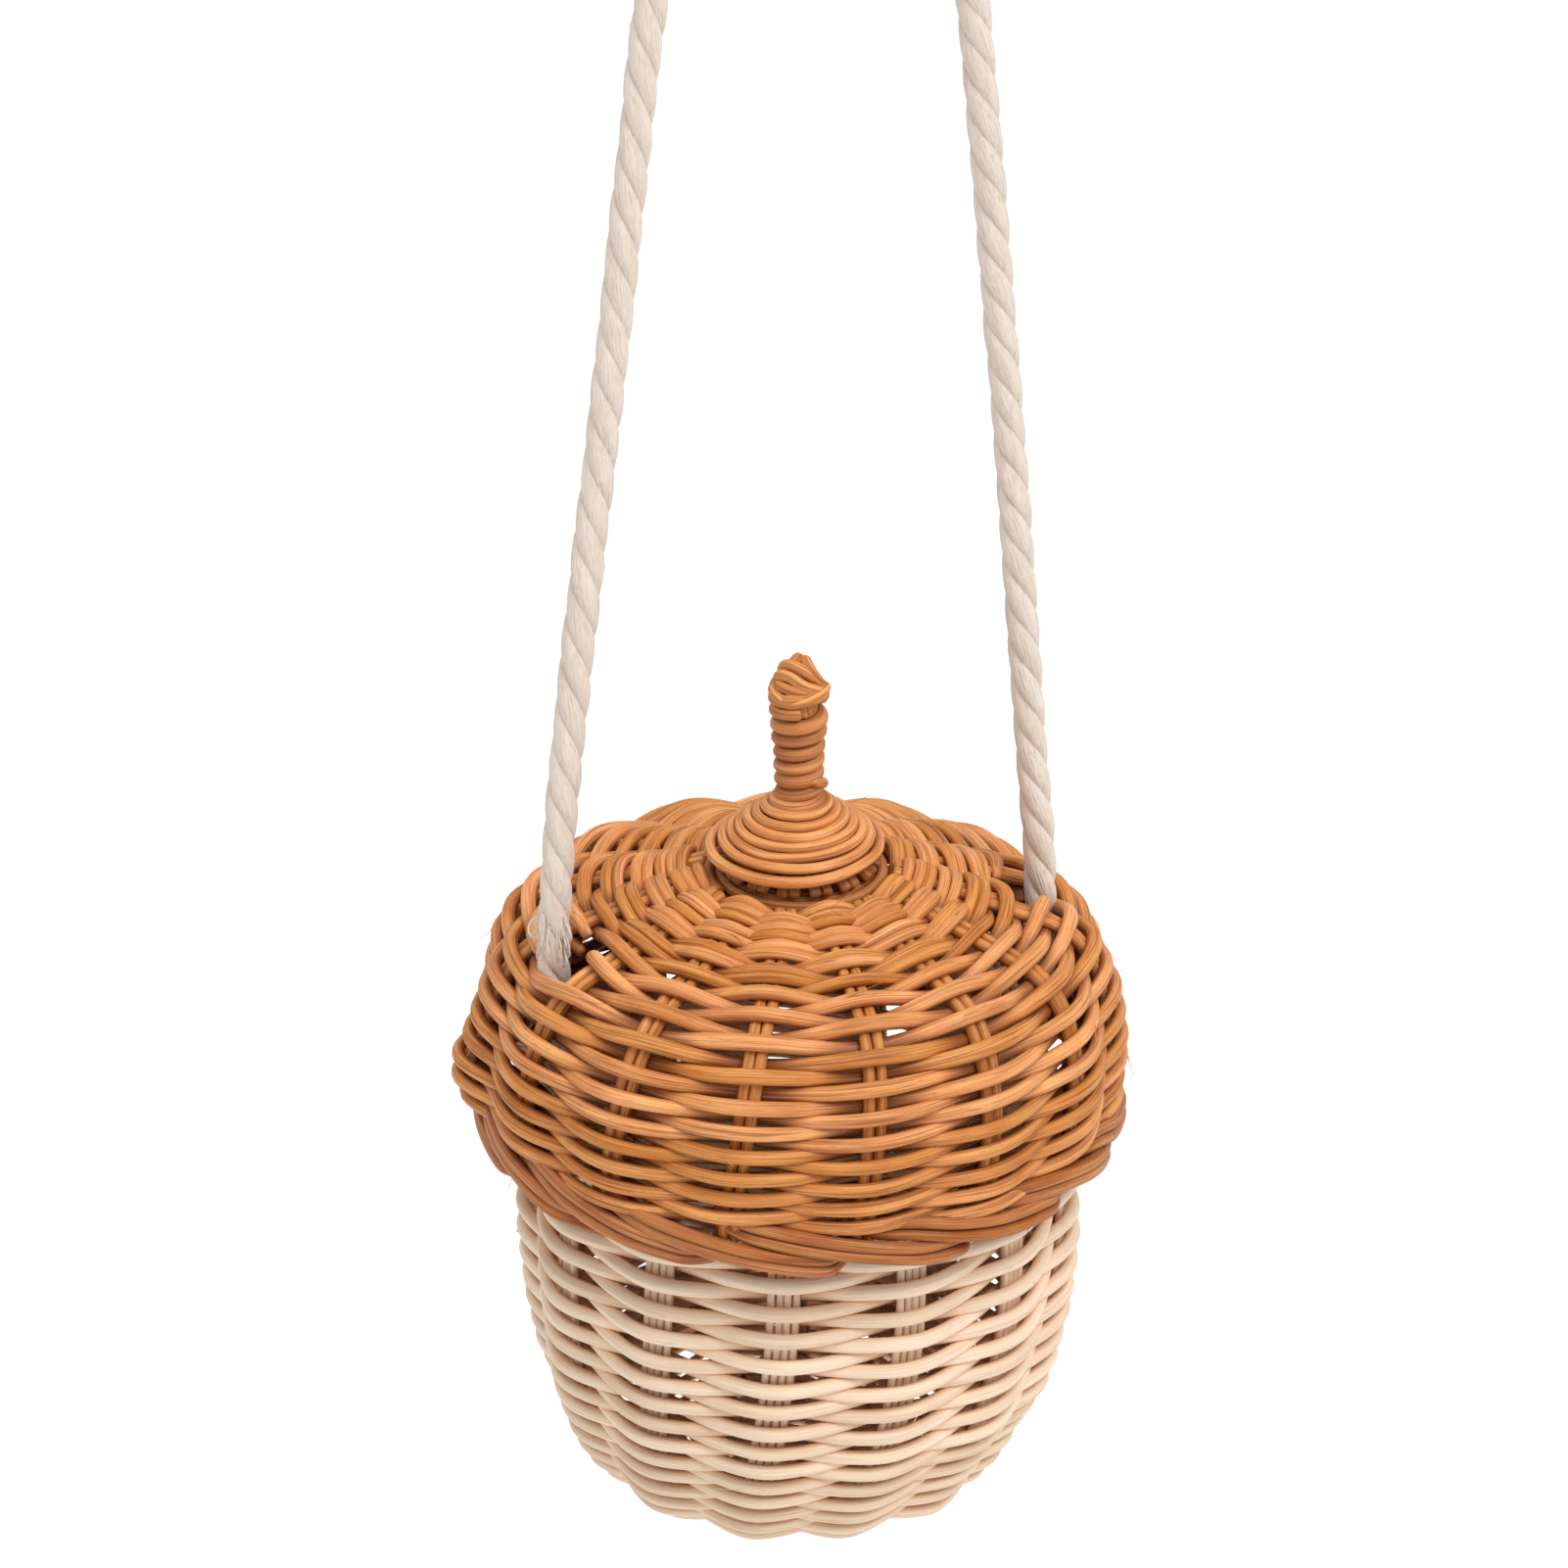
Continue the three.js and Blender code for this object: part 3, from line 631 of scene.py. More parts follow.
PALE_CANE = CaneFinish(
    name="Peeled cane",
    pale=(0.90, 0.705, 0.53, 1),
    middle=(0.83, 0.615, 0.44, 1),
    # deep: painted shade, warm orange like light bounced between the canes
    deep=(0.84, 0.46, 0.24, 1),
    streak=(0.56, 0.38, 0.25, 1),
    shine=(0.94, 0.80, 0.64, 1),
    streak_share=0.4,
    fleck_share=0.25,
    line_share=0.3,
    deep_share=0.8,
    roughness=0.52,
    bump=0.3,
    dust=0.06,
    tone_swing=0.06,
)
BROWN_CANE = CaneFinish(
    name="Stained cane",
    pale=(0.80, 0.355, 0.112, 1),
    middle=(0.57, 0.195, 0.044, 1),
    # deep: painted shade, dark brown
    deep=(0.21, 0.03, 0.004, 1),
    streak=(0.25, 0.065, 0.014, 1),
    shine=(0.90, 0.50, 0.22, 1),
    streak_share=0.7,
    fleck_share=0.55,
    line_share=0.6,
    deep_share=0.85,
    roughness=0.48,
    bump=0.45,
    dust=0.05,
    tone_swing=0.13,
)
COTTON = CottonFinish(
    name="Twisted cotton",
    pale=(0.83, 0.73, 0.64, 1),
    middle=(0.76, 0.65, 0.54, 1),
    # deep: painted shade in the hollows
    deep=(0.50, 0.38, 0.28, 1),
    bump=0.6,
)


# Woven walls


@dataclass
class Profile:
    """The middle line of a woven wall, as (radius, height) points from its first row to its last."""

    line: Array

    def __post_init__(self) -> None:
        """Sets the points evenly, half a millimetre apart, and finds the normal at each."""
        self.line = resampled(self.line, int(lengths(self.line)[-1] * 2) + 2)
        self.along = lengths(self.line)
        self.length = float(self.along[-1])
        slope = unit(np.gradient(self.line, axis=0))
        self.columns = (*self.line.T, slope[:, 1], -slope[:, 0])

    def at(self, s: Array) -> list[Array]:
        """Radius, height and the outward normal's two parts at a length along the wall."""
        return [np.interp(s, self.along, column) for column in self.columns]

    def where(self, radius: float, low: float) -> float:
        """The length along the wall, past low, at which it first comes in to a radius."""
        inside = (self.line[:, 0] <= radius) & (self.along > low)
        return float(self.along[np.argmax(inside)])


@dataclass(frozen=True)
class Hole:
    """A slot with round ends that the rope passes through: rows bend round it or end at it."""

    azimuth: float  # radians
    middle: float  # length along the wall
    half_width: float
    half_run: float  # half the length of the slot's straight part
    parting: float = 0.0  # how far the rows next to the middle are pushed aside
    spread: float = 14.0  # how far to the sides that reaches
    fade: float = 3.5  # how far a cut end's bend reaches back along the cane
    tuck: float = 2.8  # how far a cut end lies behind its row
    taper: float = 0.35  # how much thinner it is

    def part(self, azimuth: Array, s: Array, radius: Array) -> Array:
        """Bends rows away from the hole's middle.

        A row that crosses the hole at distance d from its middle moves by parting times
        (1 - d / (5 parting)) there, and by that times exp(-(x / spread)^2) at distance x beside it.

        Args:
            azimuth: of each sample along one spiral, rising.
            s: its length along the wall.
            radius: of the wall there.

        Returns:
            The new lengths along the wall.
        """
        if not self.parting:
            return s
        middle = self.azimuth + TAU * np.round((azimuth - self.azimuth) / TAU)
        across = np.interp(middle, azimuth, s) - self.middle
        shift = self.parting * np.clip(1 - np.abs(across) / (5 * self.parting), 0, 1)
        side = np.where(across < 0, -1.0, 1.0)
        return s + side * shift * hump((azimuth - middle) * radius, 0.0, self.spread)

    def cut(self, azimuth: Array, s: Array, radius: Array) -> tuple[Array, Array]:
        """Finds the canes that end at the hole.

        Args:
            azimuth: of each sample.
            s: its length along the wall.
            radius: of the wall there.

        Returns:
            Whether it lies in the hole, and a value that is 1 at a cut end and falls away from it.
        """
        passes = np.round((azimuth - self.azimuth) / TAU)
        beside = (azimuth - self.azimuth - TAU * passes) * radius
        edge = np.hypot(beside, np.maximum(np.abs(s - self.middle) - self.half_run, 0)) - self.half_width
        near = hump(np.maximum(edge, 0), 0.0, self.fade) * np.isin(passes, passes[edge < 0])
        return edge < 0, near


@dataclass
class WovenWall:
    """Plain weaving: one cane in a rising spiral, in front of and behind each stake in turn.

    With an odd number of stakes the cane that passes in front of a stake passes behind it a
    turn later. Its distance from the middle line is the sway times asin(k cos a) / asin(k),
    where a is half the number of stakes times the azimuth from a stake and k the tautness:
    near 1 the cane runs almost straight from stake to stake.
    """

    profile: Profile
    stakes: int
    phase: Callable[[Array], Array]  # azimuth of the first stake by height, radians
    bulge: Callable[[Array, Array], Array]  # how far it stands out by azimuth and length along it
    cane: Keys  # weaver's diameter by length along the wall
    pitch: Keys  # distance from cane to cane by length along the wall
    stake_cane: float
    stake_canes: int
    rows: Pair  # lengths along the wall where the weaving starts and ends
    holes: Sequence[Hole]
    splinters: tuple[int, float, int]  # loose fibres: how many, the greatest length and the seed
    tautness: float
    reach: float  # sway, of half the weaver's and the stake's thickness together
    seed: int
    foot: float  # how far the stakes go on below the wall
    head: float = 1.5  # and above it
    plies: Keys = ((0.0, 1),)  # canes that run side by side, from each length on
    shade: Keys = ((0.0, 1.0),)  # how pale the crests are by length along the wall; lower values paint shade
    # the stakes' crest; with their hollow it paints shade on their backs
    stake_crest: float = 0.6
    squeeze: float = 0.62  # distance between side by side canes behind a stake, of that in front
    ease: Pair = (1.0, 1.0)  # sway at the wall's start and at its end, of the full sway
    close: float = 0.97  # distance from cane to cane side by side, of their thickness
    # hollow and stake_hollow paint shade on the backs of the weavers' and the stakes' sections
    hollow: Fade = (0.75, 0.35, 0.9)
    stake_hollow: Fade = (0.6, 0.3, 0.8)
    turns_per_cane: float = 2.4  # a cane's usual length
    first_turn: float = 0.0  # where the spiral starts, turns from the front towards the right
    drift: Pair = (37.0, 0.34)  # the rows' random differences along the wall
    waver: Pair = (13.0, 0.16)  # and quicker ones
    lift: Pair = (29.0, 0.22)  # outwards
    swell: Pair = (60.0, 0.06)  # in thickness, of it
    cane_spread: Pair = (0.75, 1.25)  # a cane's least and greatest length, of the usual one
    fibre_twist: float = 0.012  # the most that a cane is twisted, radians for each mm
    flat: float = 0.07  # how much flatter a cane is in front of a stake and behind it
    stake_drift: Pair = (22.0, 0.16)  # a stake's random differences sideways
    stake_lift: Pair = (9.0, 0.14)  # outwards
    stake_swell: Pair = (30.0, 0.05)  # in thickness, of it
    stake_depth: float = 0.12  # and from cane to cane
    stake_close: float = 0.99  # distance from cane to cane in a stake, of their thickness
    stake_step: float = 1.6  # from point to point along a stake
    splinter_min: float = 3.0  # a splinter's least length
    splinter_lean: float = 0.6  # how far it bends sideways at most, of its length
    splinter_lift: Pair = (0.05, 0.4)  # how far it stands out, least and most, of that too
    splinter_size: Pair = (0.07, 0.16)  # its radius, least and most
    samples: int = 14  # for each stake and turn
    sides: int = 12  # of a weaver's section
    stake_sides: int = 8
    tops: list[Array] = field(default_factory=list)  # on the front passes: point, normal, direction

    def pieces(self, family: str, dress: Dress) -> None:
        """Makes the wall's weaving, with its splinters, and each stake.

        Args:
            family: start of the pieces' and the solids' names.
            dress: their body, slot and finish.
        """
        weaving = Skein()
        self.weave(weaving)
        self.fray(weaving)
        weaving.place(f"{family}_weaving", dress, f"{family}_weave")
        for number in range(self.stakes):
            node = f"{family}_stake_{number + 1:02d}"
            self.stake(number).place(f"{node}_canes", dress, node)

    def wave(self, azimuth: Array, z: Array) -> Array:
        """1 in front of a stake, -1 behind it, 0 half way between stakes."""
        c = np.cos(self.stakes / 2 * (azimuth - self.phase(z)))
        return np.arcsin(self.tautness * c) / math.asin(self.tautness)

    def behind(self, wave: Array, starts: Array) -> list[int]:
        """The samples after the starts at which the cane lies furthest behind a stake."""
        return [n + int(np.argmin(wave[n : n + 2 * self.samples])) for n in starts]

    def weave(self, skein: Skein) -> None:
        """Adds all rows of the wall.

        Args:
            skein: takes the tubes.
        """
        rng = np.random.default_rng(self.seed)
        grid = np.linspace(*self.rows, 600)
        turns = np.concatenate([[0], np.cumsum(np.diff(grid) / keyed(grid[1:], self.pitch))])
        turn = np.linspace(0, turns[-1], int(turns[-1] * self.stakes * self.samples))
        s = np.interp(turn, turns, grid)
        turn = turn + self.first_turn
        starts, plies = np.array(self.plies).T
        wave = self.wave(turn * TAU, self.profile.at(s)[1])
        change = [0, *self.behind(wave, np.searchsorted(s, starts[1:]))]
        ply = plies[np.searchsorted(change, np.arange(len(turn)), side="right") - 1]
        for lane in range(int(plies.max())):
            self.lane(skein, turn, s, lane - (ply - 1) / 2, ply > lane, rng)

    def lane(self, skein: Skein, turn: Array, s: Array, beside: Array, there: Array, rng: Rng) -> None:
        """Adds one spiral of canes, end to end. One ends and the next begins behind a stake.

        Args:
            skein: takes the tubes.
            turn: turns made at each sample.
            s: its length along the wall, at the middle of the canes side by side.
            beside: how many canes this one lies beside that middle.
            there: whether this lane has a cane there.
            rng: source of the small differences.
        """
        azimuth = turn * TAU
        r, z = self.profile.at(s)[:2]
        wave = self.wave(azimuth, z)
        front = 0.5 + 0.5 * wave
        # painted shade: the crest falls where the cane dives behind a stake and where the shade keys are low
        crest = front * keyed(s, self.shade)
        cane = keyed(s, self.cane)
        spread = self.squeeze + (1 - self.squeeze) * front
        s = np.clip(s + beside * cane * self.close * spread, *self.rows)
        for hole in self.holes:
            s = hole.part(azimuth, s, r)
        sway = (self.stake_cane + cane) / 2 * self.reach * np.interp(s, self.rows, self.ease)
        length = np.concatenate([[0], np.cumsum(np.diff(azimuth) * r[1:])])
        s = s + wander(length, *self.drift, rng) + wander(length, *self.waver, rng)
        off = sway * wave + wander(length, *self.lift, rng)
        thick = 0.5 * cane * (1 + wander(length, *self.swell, rng))
        for hole in self.holes:
            inside, near = hole.cut(azimuth, s, r)
            there = there & ~inside
            off = off - hole.tuck * near
            thick = thick * (1 - hole.taper * near)
        r, z, nr, nz = self.profile.at(s)
        off = off + self.bulge(azimuth, s)
        points, normal = around(r + off * nr, azimuth, z + off * nz), around(nr, azimuth, nz)
        along = unit(np.gradient(points, axis=0))
        top = np.flatnonzero(there & (wave > 0.6))
        surface = points[top] + normal[top] * thick[top, None]
        self.tops.append(np.stack([surface, normal[top], along[top]], axis=1))
        ends = np.cumsum(rng.uniform(*self.cane_spread, 80) * self.turns_per_cane)
        ends = ends[ends < turn[-1] - 0.5]
        marks = np.diff(there, prepend=there[:1])
        marks[self.behind(wave, np.searchsorted(turn, ends))] = True
        run = np.cumsum(marks)
        for k in range(run[-1] + 1):
            index = np.flatnonzero((run == k) & there)
            if len(index) < 4:
                continue
            more = np.arange(index[-1] + 1, min(index[-1] + 5, len(turn)))
            index = np.concatenate([index, more[there[more]]])
            squash = 1 - self.flat * wave[index] ** 2
            skein.tube(
                points[index],
                normal[index],
                thick[index, None] * np.stack([squash, 2 - squash], axis=1),
                self.sides,
                tone=float(rng.uniform()),
                crest=crest[index],
                start=float(length[index[0]]),
                twist=float(rng.uniform(-self.fibre_twist, self.fibre_twist)),
                hollow=self.hollow,
            )

    def stake(self, number: int) -> Skein:
        """The canes of one stake, side by side. Past the wall's edges they go on straight.

        Args:
            number: which stake, from 0.

        Returns:
            Their tubes.
        """
        rng = np.random.default_rng(self.seed * 1000 + number)
        skein = Skein()
        s = np.arange(-self.foot, self.profile.length + self.head, self.stake_step)
        inside = np.clip(s, 0, self.profile.length)
        beyond = s - inside
        r, z, nr, nz = self.profile.at(inside)
        r, z = r - nz * beyond, z + nr * beyond
        azimuth = self.phase(z) + TAU * number / self.stakes
        across = np.stack([np.cos(azimuth), np.sin(azimuth), 0 * azimuth], axis=1)
        for lane in range(self.stake_canes):
            side = (lane - (self.stake_canes - 1) / 2) * self.stake_cane * self.stake_close
            side = side + wander(s, *self.stake_drift, rng)
            off = wander(s, *self.stake_lift, rng) + rng.uniform(-self.stake_depth, self.stake_depth)
            off = off + self.bulge(azimuth, inside)
            # the crest paints shade on the stakes, more where the shade keys are low
            skein.tube(
                around(r + off * nr, azimuth, z + off * nz) + across * side[:, None],
                around(nr, azimuth, nz),
                self.stake_cane / 2 * (1 + wander(s, *self.stake_swell, rng)),
                self.stake_sides,
                tone=float(rng.uniform(0.1, 0.9)),
                crest=self.stake_crest * keyed(s, self.shade),
                hollow=self.stake_hollow,
            )
        return skein

    def fray(self, skein: Skein) -> None:
        """Adds the splinters: short curved fibres that have come off the canes' front passes.

        Args:
            skein: takes the tubes.
        """
        count, longest, seed = self.splinters
        rng = np.random.default_rng(seed)
        t = np.linspace(0, 1, 9)[:, None]
        tops = np.concatenate(self.tops)
        for root, normal, along in tops[rng.integers(0, len(tops), count)]:
            along = along * rng.choice([-1.0, 1.0])
            length = rng.uniform(self.splinter_min, longest)
            lean = rng.uniform(-self.splinter_lean, self.splinter_lean)
            lift = rng.uniform(*self.splinter_lift)
            side = np.cross(along, normal) * (length * lean * t * t)
            path = root - normal * 0.1 + along * (length * t) + side + normal * (length * lift * t**1.5)
            size = rng.uniform(*self.splinter_size) * np.linspace(1.0, 0.35, len(t))
            skein.tube(path, normal, size, 5, float(rng.uniform(0.3, 1.0)), 1.0)


@dataclass(frozen=True)
class Braid:
    """An edge made of the stakes' ends: each bundle leans over sideways, lies in front of the
    next stakes and tucks in behind, so that the bundles cover one another like a thick rope.

    Keys are (stakes passed, distance outwards, height) from the bundle's own stake foot.
    """

    radius: float
    height: float
    stakes: int
    phase: float
    keys: Keys
    cane: float
    seed: int
    canes: int = 2
    # crest and inner_crest set painted shade: lower is darker, the cane behind the bundle darkest
    crest: float = 1.0
    raised_left: float = 0.0
    close: float = 0.97  # distance from cane to cane in a bundle, of their thickness
    inner_depth: float = 0.8  # how far the cane behind them lies behind, of that too
    inner_crest: float = 0.2
    play: Sequence[float] = (0.05, 0.35, 0.45)  # how far the keys are moved at random
    drift: Pair = (22.0, 0.35)  # the canes' random differences sideways
    lift: Pair = (18.0, 0.3)  # outwards
    swell: Pair = (40.0, 0.06)  # in thickness, of it
    hollow: Fade = (0.75, 0.4, 0.95)

    def bundles(self) -> Skein:
        """Every bundle's canes, with one more behind them.

        Returns:
            Their tubes.
        """
        skein = Skein()
        rng = np.random.default_rng(self.seed)
        step = TAU / self.stakes
        for number in range(self.stakes):
            keys = np.array(self.keys)
            keys[1:-2] += rng.uniform(-1, 1, (len(keys) - 3, 3)) * self.play
            line = spline(keys * [step * self.radius, 1, 1], 72)
            along = lengths(line)
            azimuth = self.phase + step * number + line[:, 0] / self.radius
            lift = self.raised_left * np.maximum(-np.sin(azimuth), 0)
            middle = around(self.radius + line[:, 1], azimuth, self.height + line[:, 2] + lift)
            out, across = compass(azimuth)
            slope = np.gradient(line[:, (0, 2)], axis=0)
            last = int(np.argmin(line[:, 2])) - 5
            slope[last:] = slope[last]
            slope = unit(slope)
            side = across * -slope[:, 1:] + np.array(UP) * slope[:, :1]
            tone = rng.uniform(0.1, 0.9)
            for lane in range(self.canes + 1):
                inner = lane == self.canes
                off = 0.0 if inner else (lane - (self.canes - 1) / 2) * self.cane * self.close
                swing = wander(along, *self.drift, rng)
                depth = wander(along, *self.lift, rng) - (self.inner_depth * self.cane if inner else 0.0)
                crest = self.inner_crest if inner else self.crest
                # painted shade: darker where a bundle lies less than 3 mm out from the wall's line
                skein.tube(
                    middle + side * (off + swing)[:, None] + out * depth[:, None],
                    out,
                    self.cane / 2 * (1 + wander(along, *self.swell, rng)),
                    10,
                    tone=float(np.clip(tone + rng.uniform(-0.35, 0.35), 0, 1)),
                    crest=crest * (0.35 + 0.65 * smoothstep(line[:, 1], 0.0, 3.0)),
                    hollow=self.hollow,
                )
        return skein


# The basket's parts


@dataclass(frozen=True)
class RopeSide:
    """Where one leg of the strap goes down inside the cap."""

    azimuth: float  # radians
    radius: float


LEFT = RopeSide(math.radians(-68.6), 65.5)
RIGHT = RopeSide(math.radians(102.0), 62.8)


@dataclass
class Bowl:
    """The pale lower basket: stakes, woven wall with a drawn-in collar, woven floor and rim."""

    stakes: int = 13
    base_r: float = 45.5
    start_z: float = 3.0
    belly_r: float = 68.0
    belly_z: float = 80.0
    bowl_r: float = 67.1
    shoulder_z: float = 97.3
    collar_r: float = 53.5
    collar_z: float = 113.0
    top_z: float = 122.5
    first_phase: float = -3.0  # degrees, like the two twists
    twist: float = 12.1
    collar_twist: float = 5.85
    shoulder_pull: float = 0.65  # the collar curve's two handles, of its height
    collar_pull: float = 0.76
    foot_lift: float = 1.4  # how much the first rows lie higher
    foot_fade: float = 6.0  # and the height over which that falls by e
    foot_in: float = 0.5  # how far the foot draws in
    foot_in_right: float = 2.3  # and how much further on the right
    fuller_right: float = 0.6  # how far the belly stands out on the right
    hole_s: float = 14.6  # from the shoulder to the rope's hole, along the wall
    hole_play: float = 0.9  # beside the rope
    hole_run: float = 0.4
    floor_z: float = 3.7
    floor_cane: float = 2.1
    floor_pitch: float = 2.35
    floor_start_r: float = 5.0
    rim_keys: Keys = (
        (0.0, 0.0, -2.0), (0.15, 0.6, 2.2), (0.5, 2.6, 4.0), (1.0, 3.6, 4.2),
        (1.5, 2.2, 6.0), (1.95, -1.8, 5.6), (2.3, -3.6, 3.0), (2.6, -3.4, 0.4),
    )

    def phase(self, z: Array | float) -> Array:
        """Azimuth of the first stake, which leans most near the floor.

        Args:
            z: height.

        Returns:
            Radians.
        """
        lower = np.maximum(0, 1 - z / self.shoulder_z) ** 2.2
        upper = smoothstep(z, self.shoulder_z, self.collar_z)
        return np.radians(self.first_phase - self.twist * lower + self.collar_twist * upper)

    def profile(self) -> Profile:
        """A quarter ellipse up to the belly, straight to the shoulder, a curve in to the collar.

        Returns:
            The wall's middle line.
        """
        t = np.linspace(-math.pi / 2, 0, 120)
        wide, tall = self.belly_r - self.base_r, self.belly_z - self.start_z
        foot = np.stack([self.base_r + wide * np.cos(t), self.belly_z + tall * np.sin(t)], axis=1)
        foot[:, 1] += self.foot_lift * np.exp(-(foot[:, 1] - self.start_z) / self.foot_fade)
        rise = self.collar_z - self.shoulder_z
        keys = (
            (self.bowl_r, self.shoulder_z),
            (self.bowl_r, self.shoulder_z + self.shoulder_pull * rise),
            (self.collar_r, self.collar_z - self.collar_pull * rise),
            (self.collar_r, self.collar_z),
        )
        return Profile(np.vstack([foot, bezier(keys, 60), [[self.collar_r, self.top_z]]]))

    def bulge(self, azimuth: Array, s: Array) -> Array:
        """The bowl is a little fuller on its right side, where its foot draws in further.

        Args:
            azimuth: radians.
            s: length along the wall.

        Returns:
            How far the wall stands out.
        """
        right = np.maximum(np.sin(azimuth), 0)
        fuller = self.fuller_right * right * smoothstep(-s, -85.0, -70.0) * smoothstep(s, 40.0, 60.0)
        foot = smoothstep(s, 3.0, 12.0) * smoothstep(-s, -36.0, -20.0)
        return fuller - foot * (self.foot_in + self.foot_in_right * right)

    def wall(self) -> WovenWall:
        """The woven wall with the holes where the rope goes through the collar.

        Returns:
            The wall.
        """
        profile = self.profile()
        shoulder = profile.where(self.bowl_r - 2, 60)
        through, half = shoulder + self.hole_s, ROPE / 2 + self.hole_play
        top = profile.length
        return WovenWall(
            profile,
            self.stakes,
            self.phase,
            self.bulge,
            cane=((0.0, 3.3), (30.0, 3.5), (60.0, 3.75), (90.0, 3.8), (top, 3.5)),
            pitch=((0, 2.75), (25, 2.95), (50, 3.3), (75, 3.8), (94, 4.0), (101, 3.5), (top, 3.3)),
            stake_cane=2.05,
            stake_canes=4,
            rows=(2.2, top - 1.6),
            holes=[Hole(side.azimuth, through, half, self.hole_run) for side in (LEFT, RIGHT)],
            # the shade keys paint shade on the collar, which lies under the cap
            shade=((0.0, 1.0), (shoulder + 3.0, 1.0), (shoulder + 7.0, 0.1)),
            tautness=0.88,
            reach=1.08,
            first_turn=0.75,
            splinters=(34, 8.0, 61),
            foot=1.0,
            seed=11,
        )

    def rim(self) -> Braid:
        """The rim's braid, a little drawn in."""
        phase = float(self.phase(self.top_z))
        return Braid(self.collar_r, self.top_z, self.stakes, phase, self.rim_keys, cane=2.7, seed=21)

    def floor(self) -> Skein:
        """The floor: spokes from the stakes to the middle, and one flat spiral of weaving.

        Returns:
            Their tubes.
        """
        rng = np.random.default_rng(31)
        floor, cane, edge = Skein(), self.floor_cane, self.base_r + 0.6
        phase = float(self.phase(self.start_z))
        for number in range(self.stakes):
            out, across = compass(phase + TAU * number / self.stakes)
            for lane in (-1, 0, 1):
                r = np.linspace(3.0 + 2.5 * abs(lane), edge, 26)
                gather = smoothstep(r, 3.0, 20.0) * lane * cane
                path = out * r[:, None] + across * gather[:, None] + [0, 0, self.floor_z]
                # crest 0.4 paints some shade on the spokes
                floor.tube(path, UP, cane / 2, 8, float(rng.uniform()), 0.4)
        turns = (edge - self.floor_start_r) / self.floor_pitch
        turn = np.linspace(0, turns, int(turns * self.stakes * 8))
        wave = np.cos(self.stakes / 2 * (turn * TAU - phase))
        r, z = self.floor_start_r + self.floor_pitch * turn, self.floor_z + cane * wave * 0.98
        # painted shade where the spiral dives under the spokes
        floor.tube(around(r, turn * TAU, z), UP, cane / 2, 8, 0.6, 0.5 - 0.5 * wave)
        return floor

    def build(self, finish: Material) -> None:
        """Makes the bowl's pieces.

        Args:
            finish: the pale cane's material.
        """
        dress = Dress(Body.BOWL, Slot.PALE, finish)
        self.wall().pieces("bowl", dress)
        self.floor().place("bowl_floor_weaving", dress, "bowl_base")
        self.rim().bundles().place("bowl_rim_braid", dress, "bowl_rim")


